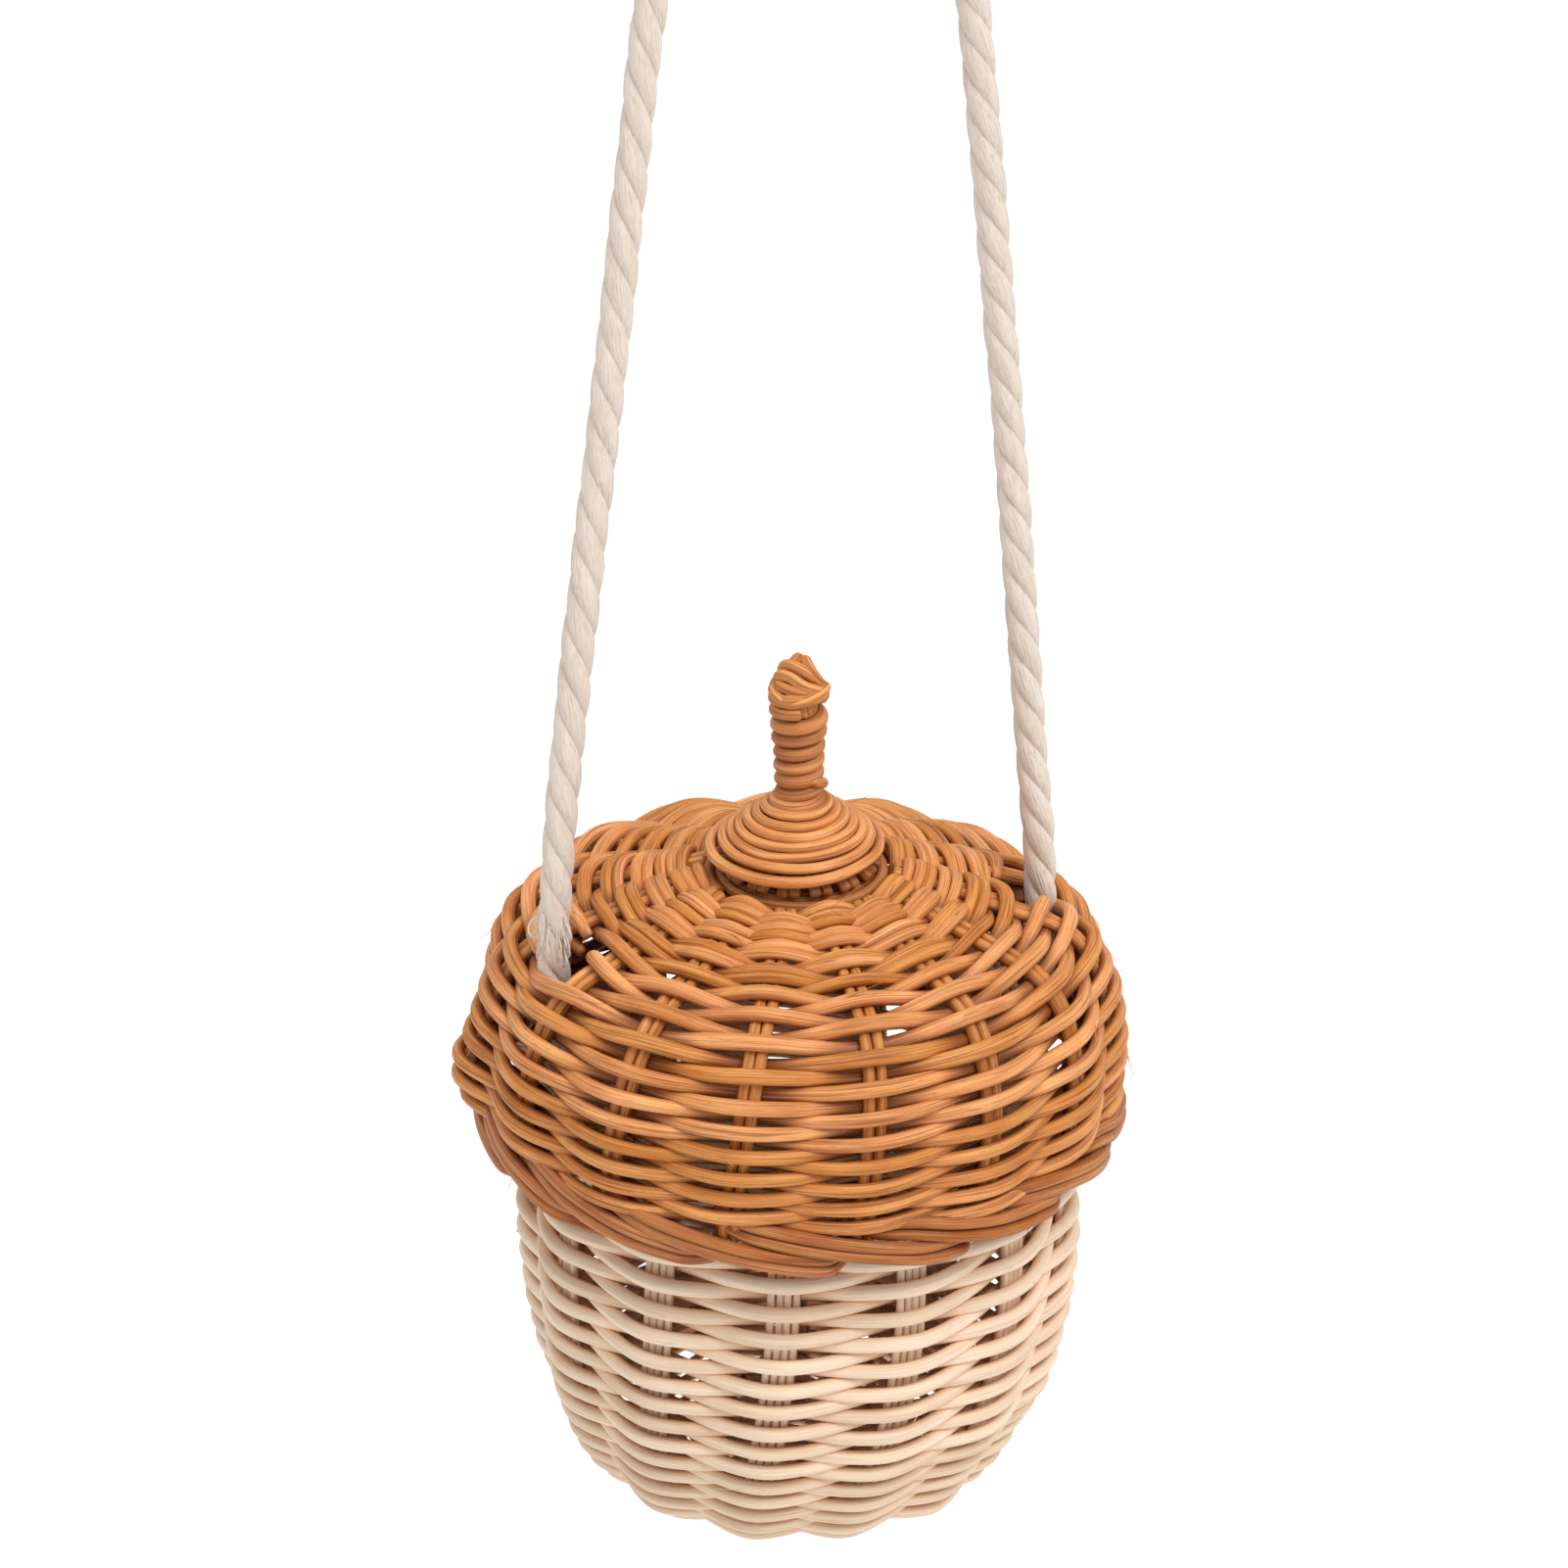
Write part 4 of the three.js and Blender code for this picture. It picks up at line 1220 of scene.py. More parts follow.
@dataclass
class Cap:
    """The stained dome: ribs, woven wall with two holes for the strap, braided border, crown."""

    stakes: int = 15
    cap_r: float = 78.5
    side_h: float = 14.0
    bend_r: float = 61.0
    bend_h: float = 49.0
    neck_r: float = 28.0
    neck_h: float = 60.3
    last_r: float = 24.6  # where the weaving ends, under the saucer
    first_phase: float = -12.6  # degrees, like the twist
    twist: float = 5.1
    side_pull: float = 0.45  # the shoulder curve's two handles, of its height and of its depth
    bend_pull: float = 0.74
    ear: float = 5.2  # how far one rib stands proud at the left
    ear_azimuth: float = -84.0  # degrees
    ear_s: float = 9.0  # along the wall
    shoulder_s: float = 50.0
    shoulder_front: float = 1.1  # how far the shoulder stands out at the front, and in at the back
    shoulder_in: float = 0.3  # and in all round
    shoulder_back_right: float = 1.8  # and in at the back's right side, out at its left
    sides_out: float = 0.9  # how far both sides stand out
    rope_lean: float = 5.3  # how far the rope leans in over the cap's lift
    hole_play: float = 0.8  # beside the rope
    hole_in: float = 1.5  # how far the rope's holes lie nearer to the axis than the rope
    hole_extra: float = 1.2  # and what they are longer at each end
    crown_r: float = 24.4
    crown_top_h: float = 62.48
    crown_cane: float = 3.0
    crown_start_r: float = 5.4
    border_keys: Keys = (
        (-0.12, -0.9, 5.0), (0.06, 0.3, 2.0), (0.36, 2.1, 0.4), (0.75, 3.1, -1.8), (1.15, 3.2, -4.3),
        (1.5, 2.5, -6.4), (1.72, 1.1, -7.4), (1.83, -0.9, -7.3), (1.88, -3.0, -5.8), (1.9, -4.4, -3.0),
    )

    def phase(self, z: Array) -> Array:
        """Azimuth of the first rib by height, radians."""
        return np.radians(self.first_phase + self.twist * np.clip((z - EDGE_Z) / self.neck_h, 0, 1))

    def profile(self) -> Profile:
        """Straight up at the side, a curve over the shoulder, then a straight slope to the neck.

        Returns:
            The wall's middle line.
        """
        bend, neck = np.array([self.bend_r, self.bend_h]), np.array([self.neck_r, self.neck_h])
        slope = unit(bend - neck)
        keys = (
            (self.cap_r, self.side_h),
            (self.cap_r, self.side_h + self.side_pull * (self.bend_h - self.side_h)),
            bend + slope * self.bend_pull * (self.cap_r - self.bend_r),
            bend,
        )
        last = neck + slope * (self.last_r - self.neck_r) / slope[0]
        return Profile(np.vstack([[[self.cap_r, 0.0]], bezier(keys, 90), [neck], [last]]) + [0.0, EDGE_Z])

    def bulge(self, azimuth: Array, s: Array) -> Array:
        """One rib at the left stands proud near the edge, and the shoulder is full all round.

        Args:
            azimuth: radians.
            s: length along the wall.

        Returns:
            How far the wall stands out.
        """
        ahead, right = np.cos(azimuth), np.sin(azimuth)
        turn = (azimuth - math.radians(self.ear_azimuth) + math.pi) % TAU - math.pi
        ear = self.ear * hump(turn, 0.0, 0.16) * hump(s, self.ear_s, 10.0)
        back = self.shoulder_back_right * right * np.clip(-2 * ahead, 0, 1)
        shoulder = (self.shoulder_front * ahead - self.shoulder_in - back) * hump(s, self.shoulder_s, 16.0)
        sides = self.sides_out * right**2 * smoothstep(-s, -60.0, -40.0) * smoothstep(s, 2.0, 12.0)
        return ear + shoulder + sides

    def hole(self, profile: Profile, side: RopeSide) -> Hole:
        """The slot that one leg of the strap comes out of, as long as the leg's lean asks for.

        Args:
            profile: the wall's middle line.
            side: which leg.

        Returns:
            The slot.
        """
        near = profile.where(side.radius + ROPE / 2 - self.hole_in, 20)
        far = profile.where(side.radius - self.rope_lean - ROPE / 2 - self.hole_in, 20)
        half = ROPE / 2 + self.hole_play
        run = max((far - near) / 2 + self.hole_extra - half, 0.2)
        return Hole(side.azimuth, (near + far) / 2, half, run, parting=3.8)

    def wall(self) -> WovenWall:
        """The woven wall with the holes that the strap comes out of.

        Returns:
            The wall.
        """
        profile = self.profile()
        top = profile.where(self.neck_r, 20)
        low_pitch = ((0.0, 2.5), (12.0, 2.75), (30.0, 3.0))
        high_pitch = ((54.0, 3.3), (44.0, 3.8), (32.0, 3.8), (25.0, 3.6), (19.0, 4.0), (0.0, 4.0))
        return WovenWall(
            profile,
            self.stakes,
            self.phase,
            self.bulge,
            cane=((0.0, 3.5), (30.0, 3.6), (45.0, 4.1), (top - 28.0, 4.0), (top - 21.0, 3.2), (top, 3.1)),
            pitch=(*low_pitch, *((top - down, pitch) for down, pitch in high_pitch)),
            stake_cane=3.1,
            stake_canes=2,
            rows=(0.9, profile.length),
            holes=[self.hole(profile, side) for side in (LEFT, RIGHT)],
            plies=((0.0, 1), (top - 22.5, 2), (top - 5.0, 3)),
            squeeze=0.8,
            ease=(1.0, 0.8),
            reach=0.93,
            tautness=0.7,
            splinters=(60, 10.0, 62),
            foot=1.5,
            seed=7,
        )

    def border(self) -> Braid:
        """The thick braided border at the lower edge, a little higher on the left.

        Returns:
            The border.
        """
        phase = math.radians(self.first_phase)
        # crest 0.26 paints shade over the border, under the dome's overhang
        looks = {"cane": 3.35, "seed": 23, "crest": 0.26, "raised_left": 1.6}
        return Braid(self.cap_r, EDGE_Z, self.stakes, phase, self.border_keys, **looks)

    def crown(self) -> Skein:
        """The crown: two flat spirals of cane, one on the other, round the knob's core.

        Returns:
            Their tubes.
        """
        crown, cane, inner = Skein(), self.crown_cane, self.crown_start_r
        turns = (self.crown_r - cane / 2 - inner) / cane
        turn = np.linspace(0, turns, int(turns * 60))
        for down, tone in ((cane / 2, 0.35), (1.5 * cane, 0.6)):
            path = around(inner + cane * turn, turn * TAU, EDGE_Z + (self.crown_top_h - down))
            # crest 0.3 paints shade on the crown, under the saucer
            crown.tube(path, UP, cane / 2, 8, tone, 0.3)
        return crown

    def build(self, finish: Material) -> None:
        """Makes the cap's pieces.

        Args:
            finish: the stained cane's material.
        """
        dress = Dress(Body.CAP, Slot.BROWN, finish)
        self.wall().pieces("cap", dress)
        self.border().bundles().place("cap_border_braid", dress, "cap_border")
        self.crown().place("cap_crown_coils", dress, "cap_crown")


@dataclass
class Knob:
    """The knob: a cane wound from the tip down the stem and out to the saucer, and its loops.

    Heights are above the cap's edge.
    """

    cane: float = 2.75  # in the saucer
    stem_cane: Pair = (3.0, 3.85)  # across the stem and up it
    saucer_r: float = 21.95
    saucer_h: float = 67.9
    saucer_turns: int = 8
    stem_r: float = 4.7
    stem_top_r: float = 5.8
    stem_base_h: float = 82.3
    stem_top_h: float = 107.4
    close: float = 0.985  # distance from turn to turn up the stem, of the cane
    loose_azimuth: float = -75.0  # degrees, where the saucer's last turn is loose
    loose_out: float = 0.9
    loose_down: float = 0.5
    drift: Pair = (17.0, 0.22)  # the winding's random differences up and down
    lift: Pair = (9.0, 0.2)  # outwards
    swell: Pair = (21.0, 0.07)  # in thickness, of it
    cross_r: float = 6.0  # how far out the strand lies that crosses the stem's foot
    cross_azimuth: float = 80.0  # degrees, at its middle
    cross_reach: float = 0.95  # radians to each side
    cross_h: float = 3.8  # above the stem's foot, at its middle
    cross_fall: float = 2.6  # from its middle to its lower end
    rib: float = 1.5  # radius of the ribs' canes
    tone: float = 0.72
    ribs: int = 15
    rib_phase: float = -7.6  # degrees
    rib_keys: Keys = ((20, 64.2), (15, 67.2), (9, 73), (4.4, 79.5), (2.4, 86), (2.1, 96), (1.9, 105))
    tail_keys: Keys = ((6, 58.8), (4, 55.5), (1.6, 55))
    core_heights: Sequence[float] = (54.6, 62.0, 80.0, 107.0)
    core_radii: Sequence[float] = (2.6, 5.4, *[3.1] * 9, 2.6)
    hitch: float = 1.45  # radius of the canes over the tip
    ring: float = 6.1  # radius of the collar round it
    arches: Sequence[tuple[float, Keys]] = (
        (0.75, ((-6.4, -1.0, 4.6), (-5.6, -3.6, 4.0), (-2.6, -5.6, 2.6), (1.2, -6.0, 3.4), (4.8, -4.4, 4.8),
                (6.6, -1.0, 4.8), (5.6, 2.6, 2.6))),
        (0.5, ((-4.6, 1.6, 4.0), (-4.9, -1.2, 8.0), (-2.4, -3.4, 8.8), (1.2, -4.8, 7.0), (4.6, -4.2, 5.4),
               (6.2, -1.0, 3.4))),
        (0.65, ((-4.0, 3.4, 4.0), (-3.8, 1.2, 9.4), (-1.6, -1.4, 11.0), (1.8, -2.6, 9.6), (4.6, -1.8, 6.8),
                (5.8, 1.2, 3.4))),
        (0.3, ((1.8, 5.0, 3.0), (1.9, 3.6, 8.6), (1.6, 0.6, 11.4), (2.9, -2.0, 10.0), (4.9, -2.2, 7.0),
               (6.4, 0.2, 4.2))),
        (0.45, ((-1.0, 5.8, 3.0), (-1.4, 4.2, 8.6), (-0.2, 1.6, 11.6), (-1.8, -0.6, 10.8), (-4.2, 0.6, 8.0),
                (-5.6, 2.4, 4.6))),
        (0.2, ((5.2, 3.6, 3.6), (2.0, 5.6, 5.4), (-2.0, 5.6, 5.4), (-5.4, 2.8, 4.6), (-6.4, 0.0, 3.6))),
        (0.6, ((-5.4, 0.4, 5.4), (-4.7, -2.6, 6.2), (-1.9, -4.5, 5.7), (1.4, -4.9, 5.2), (4.4, -3.2, 4.9),
               (5.4, 0.6, 4.0))),
    )

    def winding(self) -> Skein:
        """The cane wound down the stem and out to the saucer, whose last turn is a little loose.

        Returns:
            The winding, with the strand that crosses it at the stem's foot.
        """
        rng = np.random.default_rng(41)
        wound = Skein()
        stem_cane = np.array(self.stem_cane)
        rise = self.stem_top_h - self.stem_base_h
        turns = rise / (stem_cane[1] * self.close)
        t = np.linspace(0, 1, int(turns * 60))
        r = self.stem_r + (self.stem_top_r - self.stem_r) * smoothstep(1 - t, 0.3, 1.0)
        stem = around(r, -TAU * turns * t, self.stem_top_h - t * rise)
        u = np.linspace(0, 1, self.saucer_turns * 80)[1:]
        azimuth = -TAU * (turns + self.saucer_turns * u)
        last = smoothstep(u, 0.86, 0.93)
        loose = last * (0.5 + 0.5 * np.cos(azimuth - math.radians(self.loose_azimuth)))
        r = self.stem_r + (self.saucer_r - self.stem_r) * u + 0.3 * last + self.loose_out * loose
        h = self.stem_base_h - u * (self.stem_base_h - self.saucer_h) - self.loose_down * loose
        path = np.vstack([stem, around(r, azimuth, h)])
        along = lengths(path)
        path[:, 2] += wander(along, *self.drift, rng) + EDGE_Z
        path[:, :2] *= 1 + (wander(along, *self.lift, rng) / np.linalg.norm(path[:, :2], axis=1))[:, None]
        place_on = np.concatenate([0 * t, smoothstep(u, 0.0, 0.14)])
        swell = 1 + wander(along, *self.swell, rng) + 0.1 * np.concatenate([0 * t, last])
        size = 0.5 * (stem_cane + (self.cane - stem_cane) * place_on[:, None]) * swell[:, None]
        out = around(1.0, np.arctan2(path[:, 0], -path[:, 1]), 0.7)
        # painted shade: crest 0.34 darkens the stem, while the saucer's 0.88 leaves it pale
        wound.tube(path, out, size, 12, self.tone, 0.34 + 0.54 * place_on, hollow=(0.7, 0.35, 0.9))
        t = np.linspace(-1, 1, 16)
        height = EDGE_Z + self.stem_base_h + self.cross_h - self.cross_fall * t
        azimuth = math.radians(self.cross_azimuth) + self.cross_reach * t
        crossing = around(self.cross_r - 0.6 * t * t, azimuth, height)
        # crest 0.4 paints some shade on the crossing strand
        wound.tube(crossing, UP, 1.5 * np.cos(t), 10, self.tone, 0.4)
        return wound

    def bundle(self) -> Skein:
        """The ribs' ends, gathered from the crown up into the stem, with their tails turned in below.

        Returns:
            Their tubes, round a core.
        """
        rng = np.random.default_rng(42)
        bundle = Skein()
        for number in range(self.ribs):
            azimuth = math.radians(self.rib_phase + 360 / self.ribs * number)
            across = compass(azimuth)[1]
            for keys, lanes in ((self.rib_keys, (-1, 1)), (self.tail_keys, (0,))):
                line = spline(np.array(keys) + rng.uniform(-0.25, 0.25, (len(keys), 2)), 30)
                for lane in lanes:
                    side = lane * self.rib * np.clip(line[:, 0] / 20.0, 0.1, 1.0)
                    path = around(line[:, 0], azimuth, line[:, 1] + EDGE_Z) + across * side[:, None]
                    size = self.rib * np.clip(line[:, 0] / 8.0, 0.35, 1.0)
                    # crest 0.2 paints shade on the ribs' ends, under the saucer
                    bundle.tube(path, UP, size, 8, float(rng.uniform()), 0.2)
        middle = np.outer(np.add(self.core_heights, EDGE_Z), UP)
        # and on the core
        bundle.tube(resampled(middle, 12), (1, 0, 0), self.core_radii, 16, 0.4, 0.2)
        return bundle

    def tip(self) -> Skein:
        """The tip: a collar of cane, and hitches that cross over the top.

        Returns:
            Their tubes, round a core.
        """
        tip, top = Skein(), EDGE_Z + self.stem_top_h + 0.4
        t = np.linspace(0, TAU * 1.55, 90)
        height = top + 2.0 + 0.9 * np.sin(t + 2.2) + t * 0.12
        ring = around(self.ring + 0.3 * np.sin(2 * t), t + 1.2, height)
        tip.tube(ring, UP, np.tile([1.8, self.hitch], (90, 1)), 10, 0.4, 0.7)
        for tone, keys in self.arches:
            line = spline(np.array(keys) + [0, 0, top], 46)
            tip.tube(line, (0.2, -0.4, 0.9), self.hitch, 10, tone, 0.75)
        core = np.array([[0, 0, top - 2.0], [0, 0, top + 3.5], [0.2, 0, top + 9.6]])
        # crest 0.4 paints some shade on the tip's core
        tip.tube(resampled(core, 12), (1, 0, 0), np.linspace(4.9, 2.9, 12), 12, 0.3, 0.4)
        return tip

    def build(self, finish: Material) -> None:
        """Makes the winding, the bundle inside it and the tip.

        Args:
            finish: the stained cane's material.
        """
        dress = Dress(Body.CAP, Slot.BROWN, finish)
        self.winding().place("knob_wound_cane", dress, "knob_winding")
        self.bundle().place("knob_rib_ends", dress, "knob_core")
        self.tip().place("knob_tip_hitches", dress, "knob_tip")


@dataclass
class Strap:
    """The rope: three strands laid together, from one stopper knot over the loop to the other."""

    strand: Pair = (4.0, 5.3)  # a strand's section, across the rope and along its surface
    lay: float = 33.0  # length of one full turn of a strand
    yarns: int = 9  # in each strand
    yarn_lay: float = 31.0  # length of one full turn of a yarn round its strand, the other way
    bend_r: float = 17.0
    bend_z: float = 127.0
    bend_angle: float = math.radians(72.0)
    joint_z: float = 159.33
    knot_r: float = 50.6  # where the rope meets its knot
    knot_radius: float = 8.6
    knot_length: float = 15.0
    knot_cord: float = 2.0  # radius of the strand in the knot
    # hollow paints shade on each strand's back, where the strands meet
    hollow: Fade = (1.0, 0.12, 0.62)
    lift: Pair = (17.0, 0.12)  # the strands' random differences outwards
    swell: Pair = (23.0, 0.05)  # in thickness, of it
    fibres: int = 1500
    fibre_radius: float = 0.045
    loose_yarns: int = 26
    spacing: float = 1.3  # from point to point of the centre line
    route: Keys = (
        (-60.3, -23.6, 176), (-58.4, -22.9, 200), (-55.8, -21.9, 225), (-53.0, -20.6, 250), (-50, -19.2, 275),
        (-47, -17.8, 300), (-44.1, -16.3, 325), (-41.4, -15, 350), (-38.6, -13.6, 375), (-35.9, -12.2, 398),
        (-32.9, -10.4, 416), (-27.0, -7.8, 431), (-15.8, -4.2, 444.5), (0, 0, 450), (17.5, 3.4, 446.6),
        (31.5, 5.9, 433.5), (38.5, 7.3, 417), (41.3, 8.1, 398), (43.6, 8.6, 375), (45.9, 9.2, 350),
        (48.1, 9.8, 325), (50.3, 10.4, 300), (52.4, 11.0, 275), (54.4, 11.6, 250), (56.3, 12.1, 225),
        (58.3, 12.5, 200), (60.4, 12.9, 176),
    )

    def end(self, side: RopeSide) -> Array:
        """One hidden end from the cap's hole down: straight, an arc inwards, straight to the knot.

        Args:
            side: which leg.

        Returns:
            Its centre line.
        """
        bend = self.bend_angle
        a = np.linspace(0, bend, 14)
        r = side.radius - self.bend_r * (1 - np.cos(a))
        z = self.bend_z - self.bend_r * np.sin(a)
        tail = np.linspace(0, (r[-1] - self.knot_r) / math.sin(bend), 4)[1:]
        r = np.concatenate([[side.radius] * 4, r, r[-1] - tail * math.sin(bend)])
        z = np.concatenate([np.linspace(self.joint_z, self.bend_z + 8, 4), z, z[-1] - tail * math.cos(bend)])
        return around(r, side.azimuth, z)

    def __post_init__(self) -> None:
        """Works out the centre line from knot to knot and the directions square to it."""
        rough = np.vstack([self.end(LEFT)[::-1], np.array(self.route), self.end(RIGHT)])
        self.path = spline(rough, int(lengths(rough)[-1] / self.spacing))
        self.tangent = unit(np.gradient(self.path, axis=0))
        self.first = square_to(self.tangent, np.array([0.24, -0.97, 0.0]))
        self.second = np.cross(self.tangent, self.first)

    def outwards(self, turn: Array, at: Array | slice = slice(None)) -> Array:
        """Unit vectors out of the rope at an angle round it."""
        return self.first[at] * np.cos(turn)[:, None] + self.second[at] * np.sin(turn)[:, None]

    def yarn_ridges(self, length: Array, angle: Array) -> Array:
        """The factor of a strand's radius that makes its yarns show, twisted the other way than the lay."""
        wave = np.abs(np.sin(self.yarns / 2 * (angle - TAU * length / self.yarn_lay)))
        return 0.965 + 0.055 * np.sqrt(wave)

    def strands(self) -> Skein:
        """The three strands, wound round the centre line.

        Returns:
            Their tubes.
        """
        rng = np.random.default_rng(51)
        rope, along, strand = Skein(), lengths(self.path), np.array(self.strand)
        centre = ROPE / 2 - strand[0] / 2
        for k in range(3):
            turn = -TAU * along / self.lay + TAU * k / 3
            out = self.outwards(turn)
            radius = strand / 2 * (1 + wander(along, *self.swell, rng))[:, None]
            line = self.path + out * (centre + wander(along, *self.lift, rng))[:, None]
            looks = {"section": self.yarn_ridges, "twist": TAU / self.yarn_lay, "hollow": self.hollow}
            rope.tube(line, out, radius, 3 * self.yarns, 0.2 + 0.3 * k, 1.0, **looks)
        return rope

    def fluff(self) -> Skein:
        """Loose fibres that stand out of the rope: short thin hairs, most of them lying along it.

        Returns:
            Their tubes.
        """
        rng = np.random.default_rng(52)
        count = self.fibres
        at = rng.integers(4, len(self.path) - 4, count)
        out = self.outwards(rng.uniform(0, TAU, count), at)
        tangent = self.tangent[at] * rng.choice([-1.0, 1.0], count)[:, None]
        side = np.cross(tangent, out)
        spans = ((1.2, 4.2), (0.15, 0.75), (-0.6, 0.6))
        length, lift, curl = (rng.uniform(*span, (count, 1)) for span in spans)
        root = self.path[at] + out * (ROPE / 2 - 0.75)
        fluff = Skein()
        t = np.linspace(0, 1, 5)
        for k in range(count):
            reach = tangent[k] * t[:, None] + out[k] * (lift[k] * t * (1.6 - t))[:, None]
            reach = reach + side[k] * (curl[k] * t * t)[:, None]
            size = self.fibre_radius * (1.1 - 0.7 * t)
            fluff.tube(root[k] + reach * length[k], side[k], size, 3, float(rng.uniform()), 0.9)
        return fluff

    def frayed(self) -> Skein:
        """Yarns that the hole's edge has pulled out of the left leg: loops that bend out and back.

        Returns:
            Their tubes.
        """
        rng = np.random.default_rng(53)
        frayed = Skein()
        out, across = compass(LEFT.azimuth)
        foot = around(LEFT.radius, LEFT.azimuth, 0.0)
        for _ in range(self.loose_yarns):
            a = rng.uniform(-0.5, 2.2)
            way = out * math.cos(a) + across * math.sin(a) * 0.9
            high, drop, reach = rng.uniform(161.0, 171.0), rng.uniform(5.0, 10.0), rng.uniform(0.6, 3.0)
            base = foot + way * (ROPE / 2 - 0.5)
            keys = [base + [0, 0, high]]
            for far, stray, down in ((0.8, 1.0, 0.45), (1.0, 1.5, 0.8), (0.2, 1.0, 1.0)):
                aside = across * rng.uniform(-stray, stray)
                keys.append(base + way * reach * far + aside + [0, 0, high - drop * down])
            size = rng.uniform(0.12, 0.34) * np.linspace(1.0, 0.6, 16)
            frayed.tube(spline(keys, 16), out, size, 6, float(rng.uniform()), 0.9)
        return frayed

    def knot(self, side: RopeSide) -> Skein:
        """A stopper knot of one strand led round and round: a woven ball on an egg-shaped form.

        Args:
            side: the leg that it ends.

        Returns:
            Its tubes.
        """
        end = self.end(side)
        axis = unit(end[-1] - end[-2])
        middle = end[-1] + axis * (self.knot_length * 0.5 + 0.2)
        across = unit(np.cross(axis, UP))
        up = np.cross(across, axis)
        t = np.linspace(0, TAU, 420)
        longitude, swing = 3 * t, 4 * t
        latitude = 1.12 * np.sin(swing)
        over = 0.9 * np.cos(2 * swing + 0.4)
        r = (self.knot_radius - self.knot_cord + over * 0.5) * np.cos(latitude)
        h = (self.knot_length / 2 - self.knot_cord * 0.9 + over * 0.4) * np.sin(latitude)
        ways = ((across, r * np.cos(longitude)), (up, r * np.sin(longitude)), (axis, h))
        line = middle + sum(way * far[:, None] for way, far in ways)
        ball = Skein()
        ball.tube(line, unit(line - middle), self.knot_cord, 12, 0.5, 0.8)
        heart = middle + axis * np.linspace(-self.knot_length * 0.42, self.knot_length * 0.42, 12)[:, None]
        egg = np.sqrt(np.clip(1 - np.linspace(-0.95, 0.95, 12) ** 2, 0.05, 1))
        # crest 0.3 paints shade on the knot's form, seen between the turns
        ball.tube(heart, up, egg * (self.knot_radius - 2.6), 16, 0.4, 0.3)
        return ball

    def build(self, finish: Material) -> None:
        """Makes the rope, its fluff and the knots, and logs the rope's length.

        Args:
            finish: the cotton's material.
        """
        dress = Dress(Body.BOWL, Slot.ROPE, finish)
        length = float(lengths(self.path)[-1])
        rope = self.strands().place("strap_rope", dress, "strap_loop", "strap_end_left", "strap_end_right")
        fluff = self.fluff().place("strap_fluff", dress)
        frayed = self.frayed().place("strap_frayed_yarns", dress)
        knots = [
            self.knot(side).place(f"strap_stopper_{name}", dress, f"strap_knot_{name}")
            for name, side in (("left", LEFT), ("right", RIGHT))
        ]
        route = (self.path - [0, 0, HANG_Z]) * MM
        tuple(route[0])
        route[::3].tolist() + [route[-1].tolist()]
        LOG.info("rope from knot to knot: %.0f mm", length)


# Stage


@dataclass(frozen=True)
class Lamp:
    """A broad light from a direction, like a large softbox far away. Angles are in degrees."""

    name: str
    azimuth: float  # from the front towards the right
    elevation: float
    strength: float  # watts for each square metre
    spread: float  # its width seen from the basket

    def build(self) -> None:
        """Makes the light."""
        data = bpy.data.lights.new(self.name, "SUN")
        data.energy, data.angle = self.strength, math.radians(self.spread)
        light = linked(self.name, data)
        height = math.radians(self.elevation)
        toward = Vector(around(math.cos(height), math.radians(self.azimuth), math.sin(height)))
        light.rotation_euler = (-toward).to_track_quat("-Z", "Y").to_euler()
        light.location = toward * 2.0


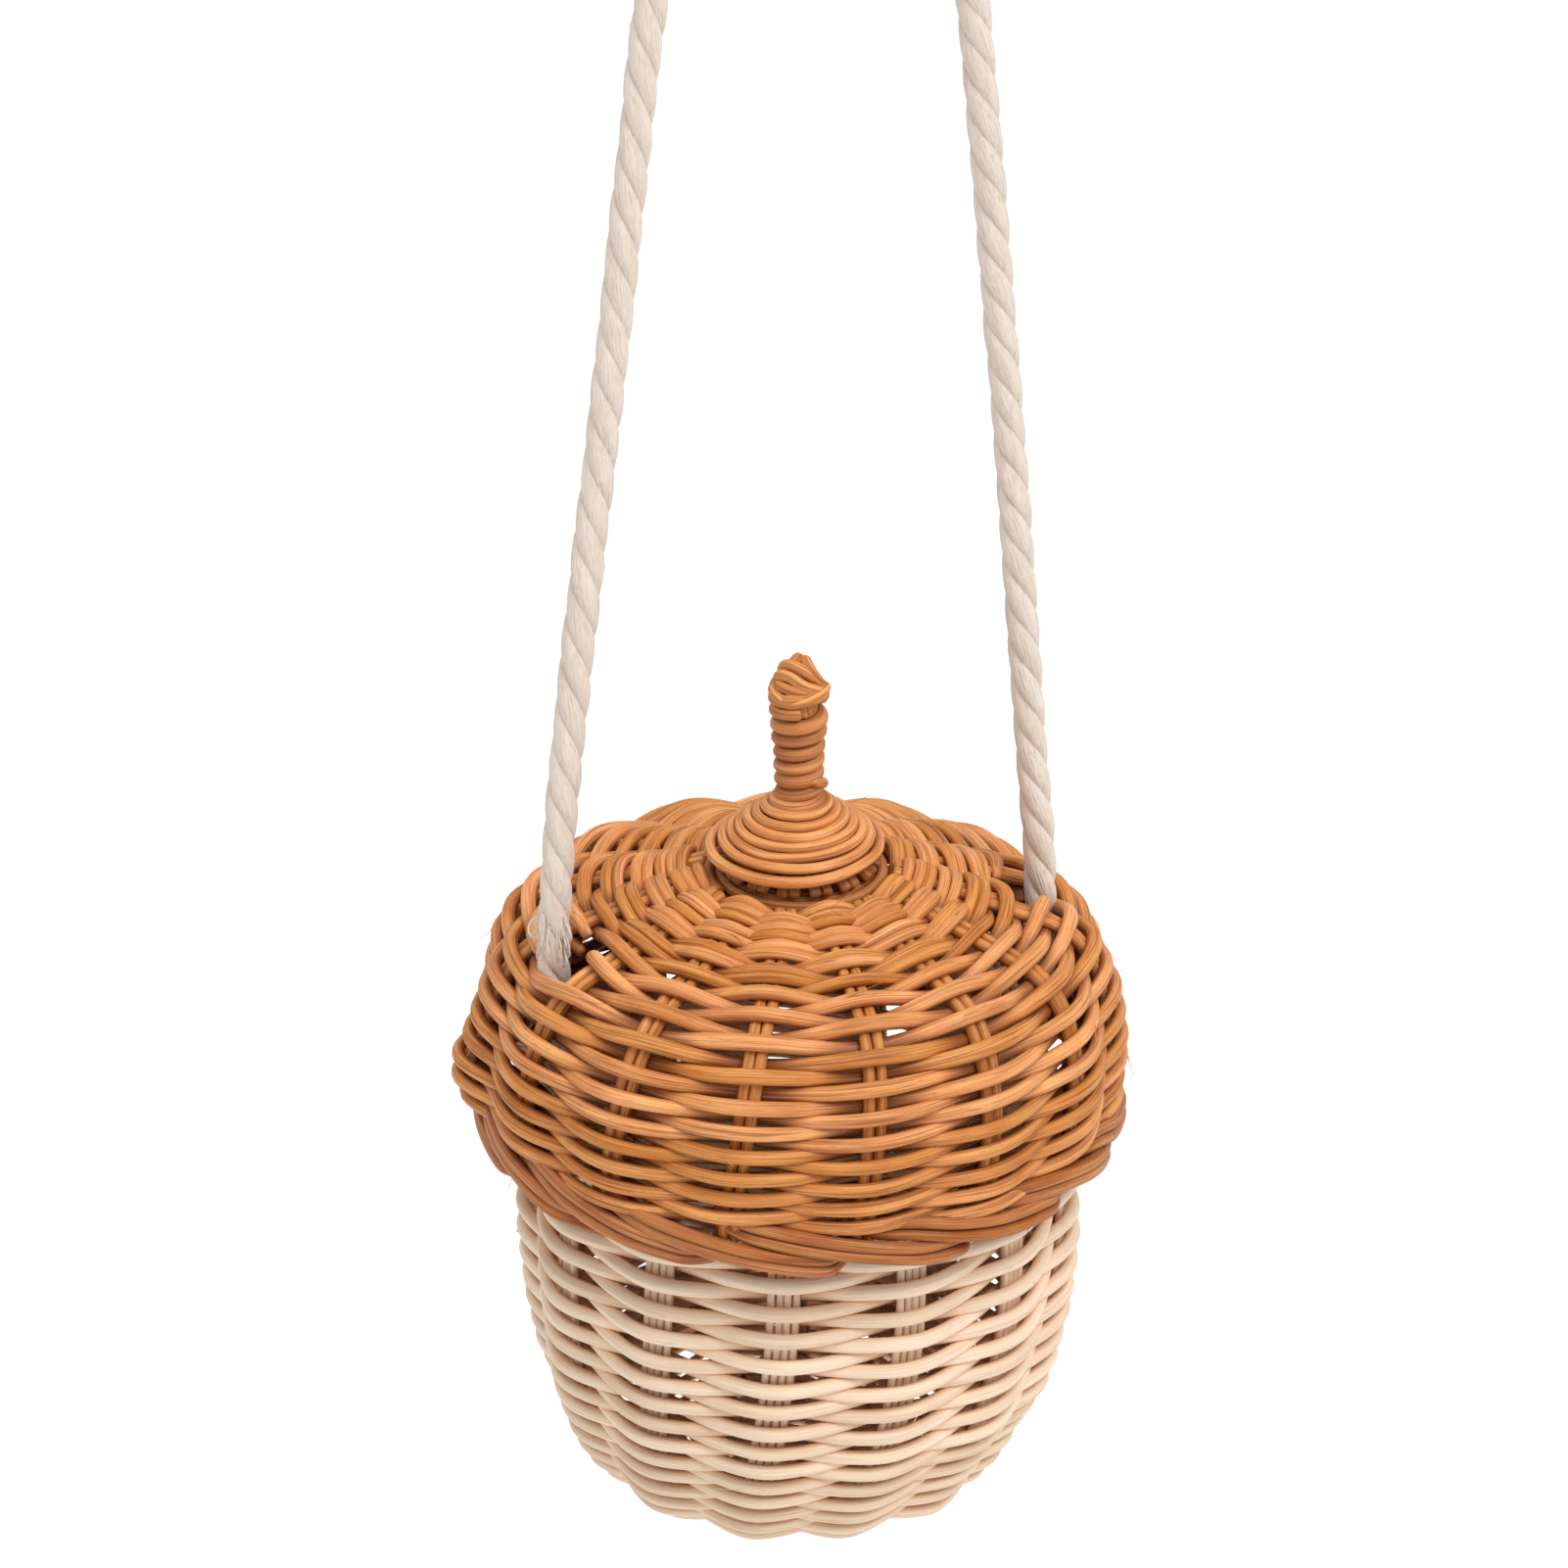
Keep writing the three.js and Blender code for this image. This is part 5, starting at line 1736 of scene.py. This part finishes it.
@dataclass(frozen=True)
class Stage:
    """The photograph's view, soft studio light and a plain pale floor under the hanging basket."""

    target: tuple[float, float, float] = (-3.7, 0.0, 192.6)
    distance: float = 1800.0
    elevation: float = 26.5  # degrees
    lens: float = 165.1
    lamps: Sequence[Lamp] = (Lamp("Key", 46.0, 52.0, 1.5, 30.0), Lamp("Top", -20.0, 80.0, 1.0, 45.0))
    sky: float = 0.6
    floor_z: float = -700.0
    floor_half: float = 9000.0
    floor_colour: Colour = (0.88, 0.88, 0.88, 1)
    floor_roughness: float = 0.9

    def camera(self) -> None:
        """A long lens that looks down on the basket from the front."""
        data = bpy.data.cameras.new("Camera")
        data.lens, data.sensor_width, data.clip_start, data.clip_end = self.lens, 36.0, 0.1, 50.0
        camera = linked("Camera", data)
        a = math.radians(self.elevation)
        back = Vector((0.0, -math.cos(a), math.sin(a)))
        camera.location = (Vector(self.target) - Vector((0, 0, HANG_Z)) + back * self.distance) * MM
        camera.rotation_euler = (-back).to_track_quat("-Z", "Y").to_euler()
        bpy.context.scene.camera = camera

    def build(self) -> None:
        """Makes the lights, the sky and the floor."""
        bpy.context.scene.view_settings.view_transform = "Standard"
        for lamp in self.lamps:
            lamp.build()
        world = bpy.data.worlds.new("Studio")
        bpy.context.scene.world = world
        world.use_nodes = True
        sky = world.node_tree.nodes["Background"].inputs
        Wiring(world.node_tree).feed(sky, {"Color": (1.0, 1.0, 1.0, 1.0), "Strength": self.sky})
        half, z = self.floor_half * MM, (self.floor_z - HANG_Z) * MM
        corners = [(-half, -half, z), (half, -half, z), (half, half, z), (-half, half, z)]
        mesh = bpy.data.meshes.new("Floor")
        mesh.from_pydata(corners, [], [(0, 1, 2, 3)])
        material, wire, shader = new_material("Pale floor")
        wire.feed(shader, {"Base Color": self.floor_colour, "Roughness": self.floor_roughness})
        mesh.materials.append(material)
        linked("Floor", mesh)


def main() -> None:
    """Builds the stage, the rope and the basket in order."""
    logging.basicConfig(level=logging.INFO, format="%(name)s: %(message)s")
    stage = Stage()
    stage.camera()
    for make in (make_fibres, make_yarn, make_dust):
        make()
    pale, brown, cotton = (finish.material() for finish in (PALE_CANE, BROWN_CANE, COTTON))
    Strap().build(cotton)
    Bowl().build(pale)
    Cap().build(brown)
    Knob().build(brown)
    stage.build()


if __name__ == "__main__":
    main()
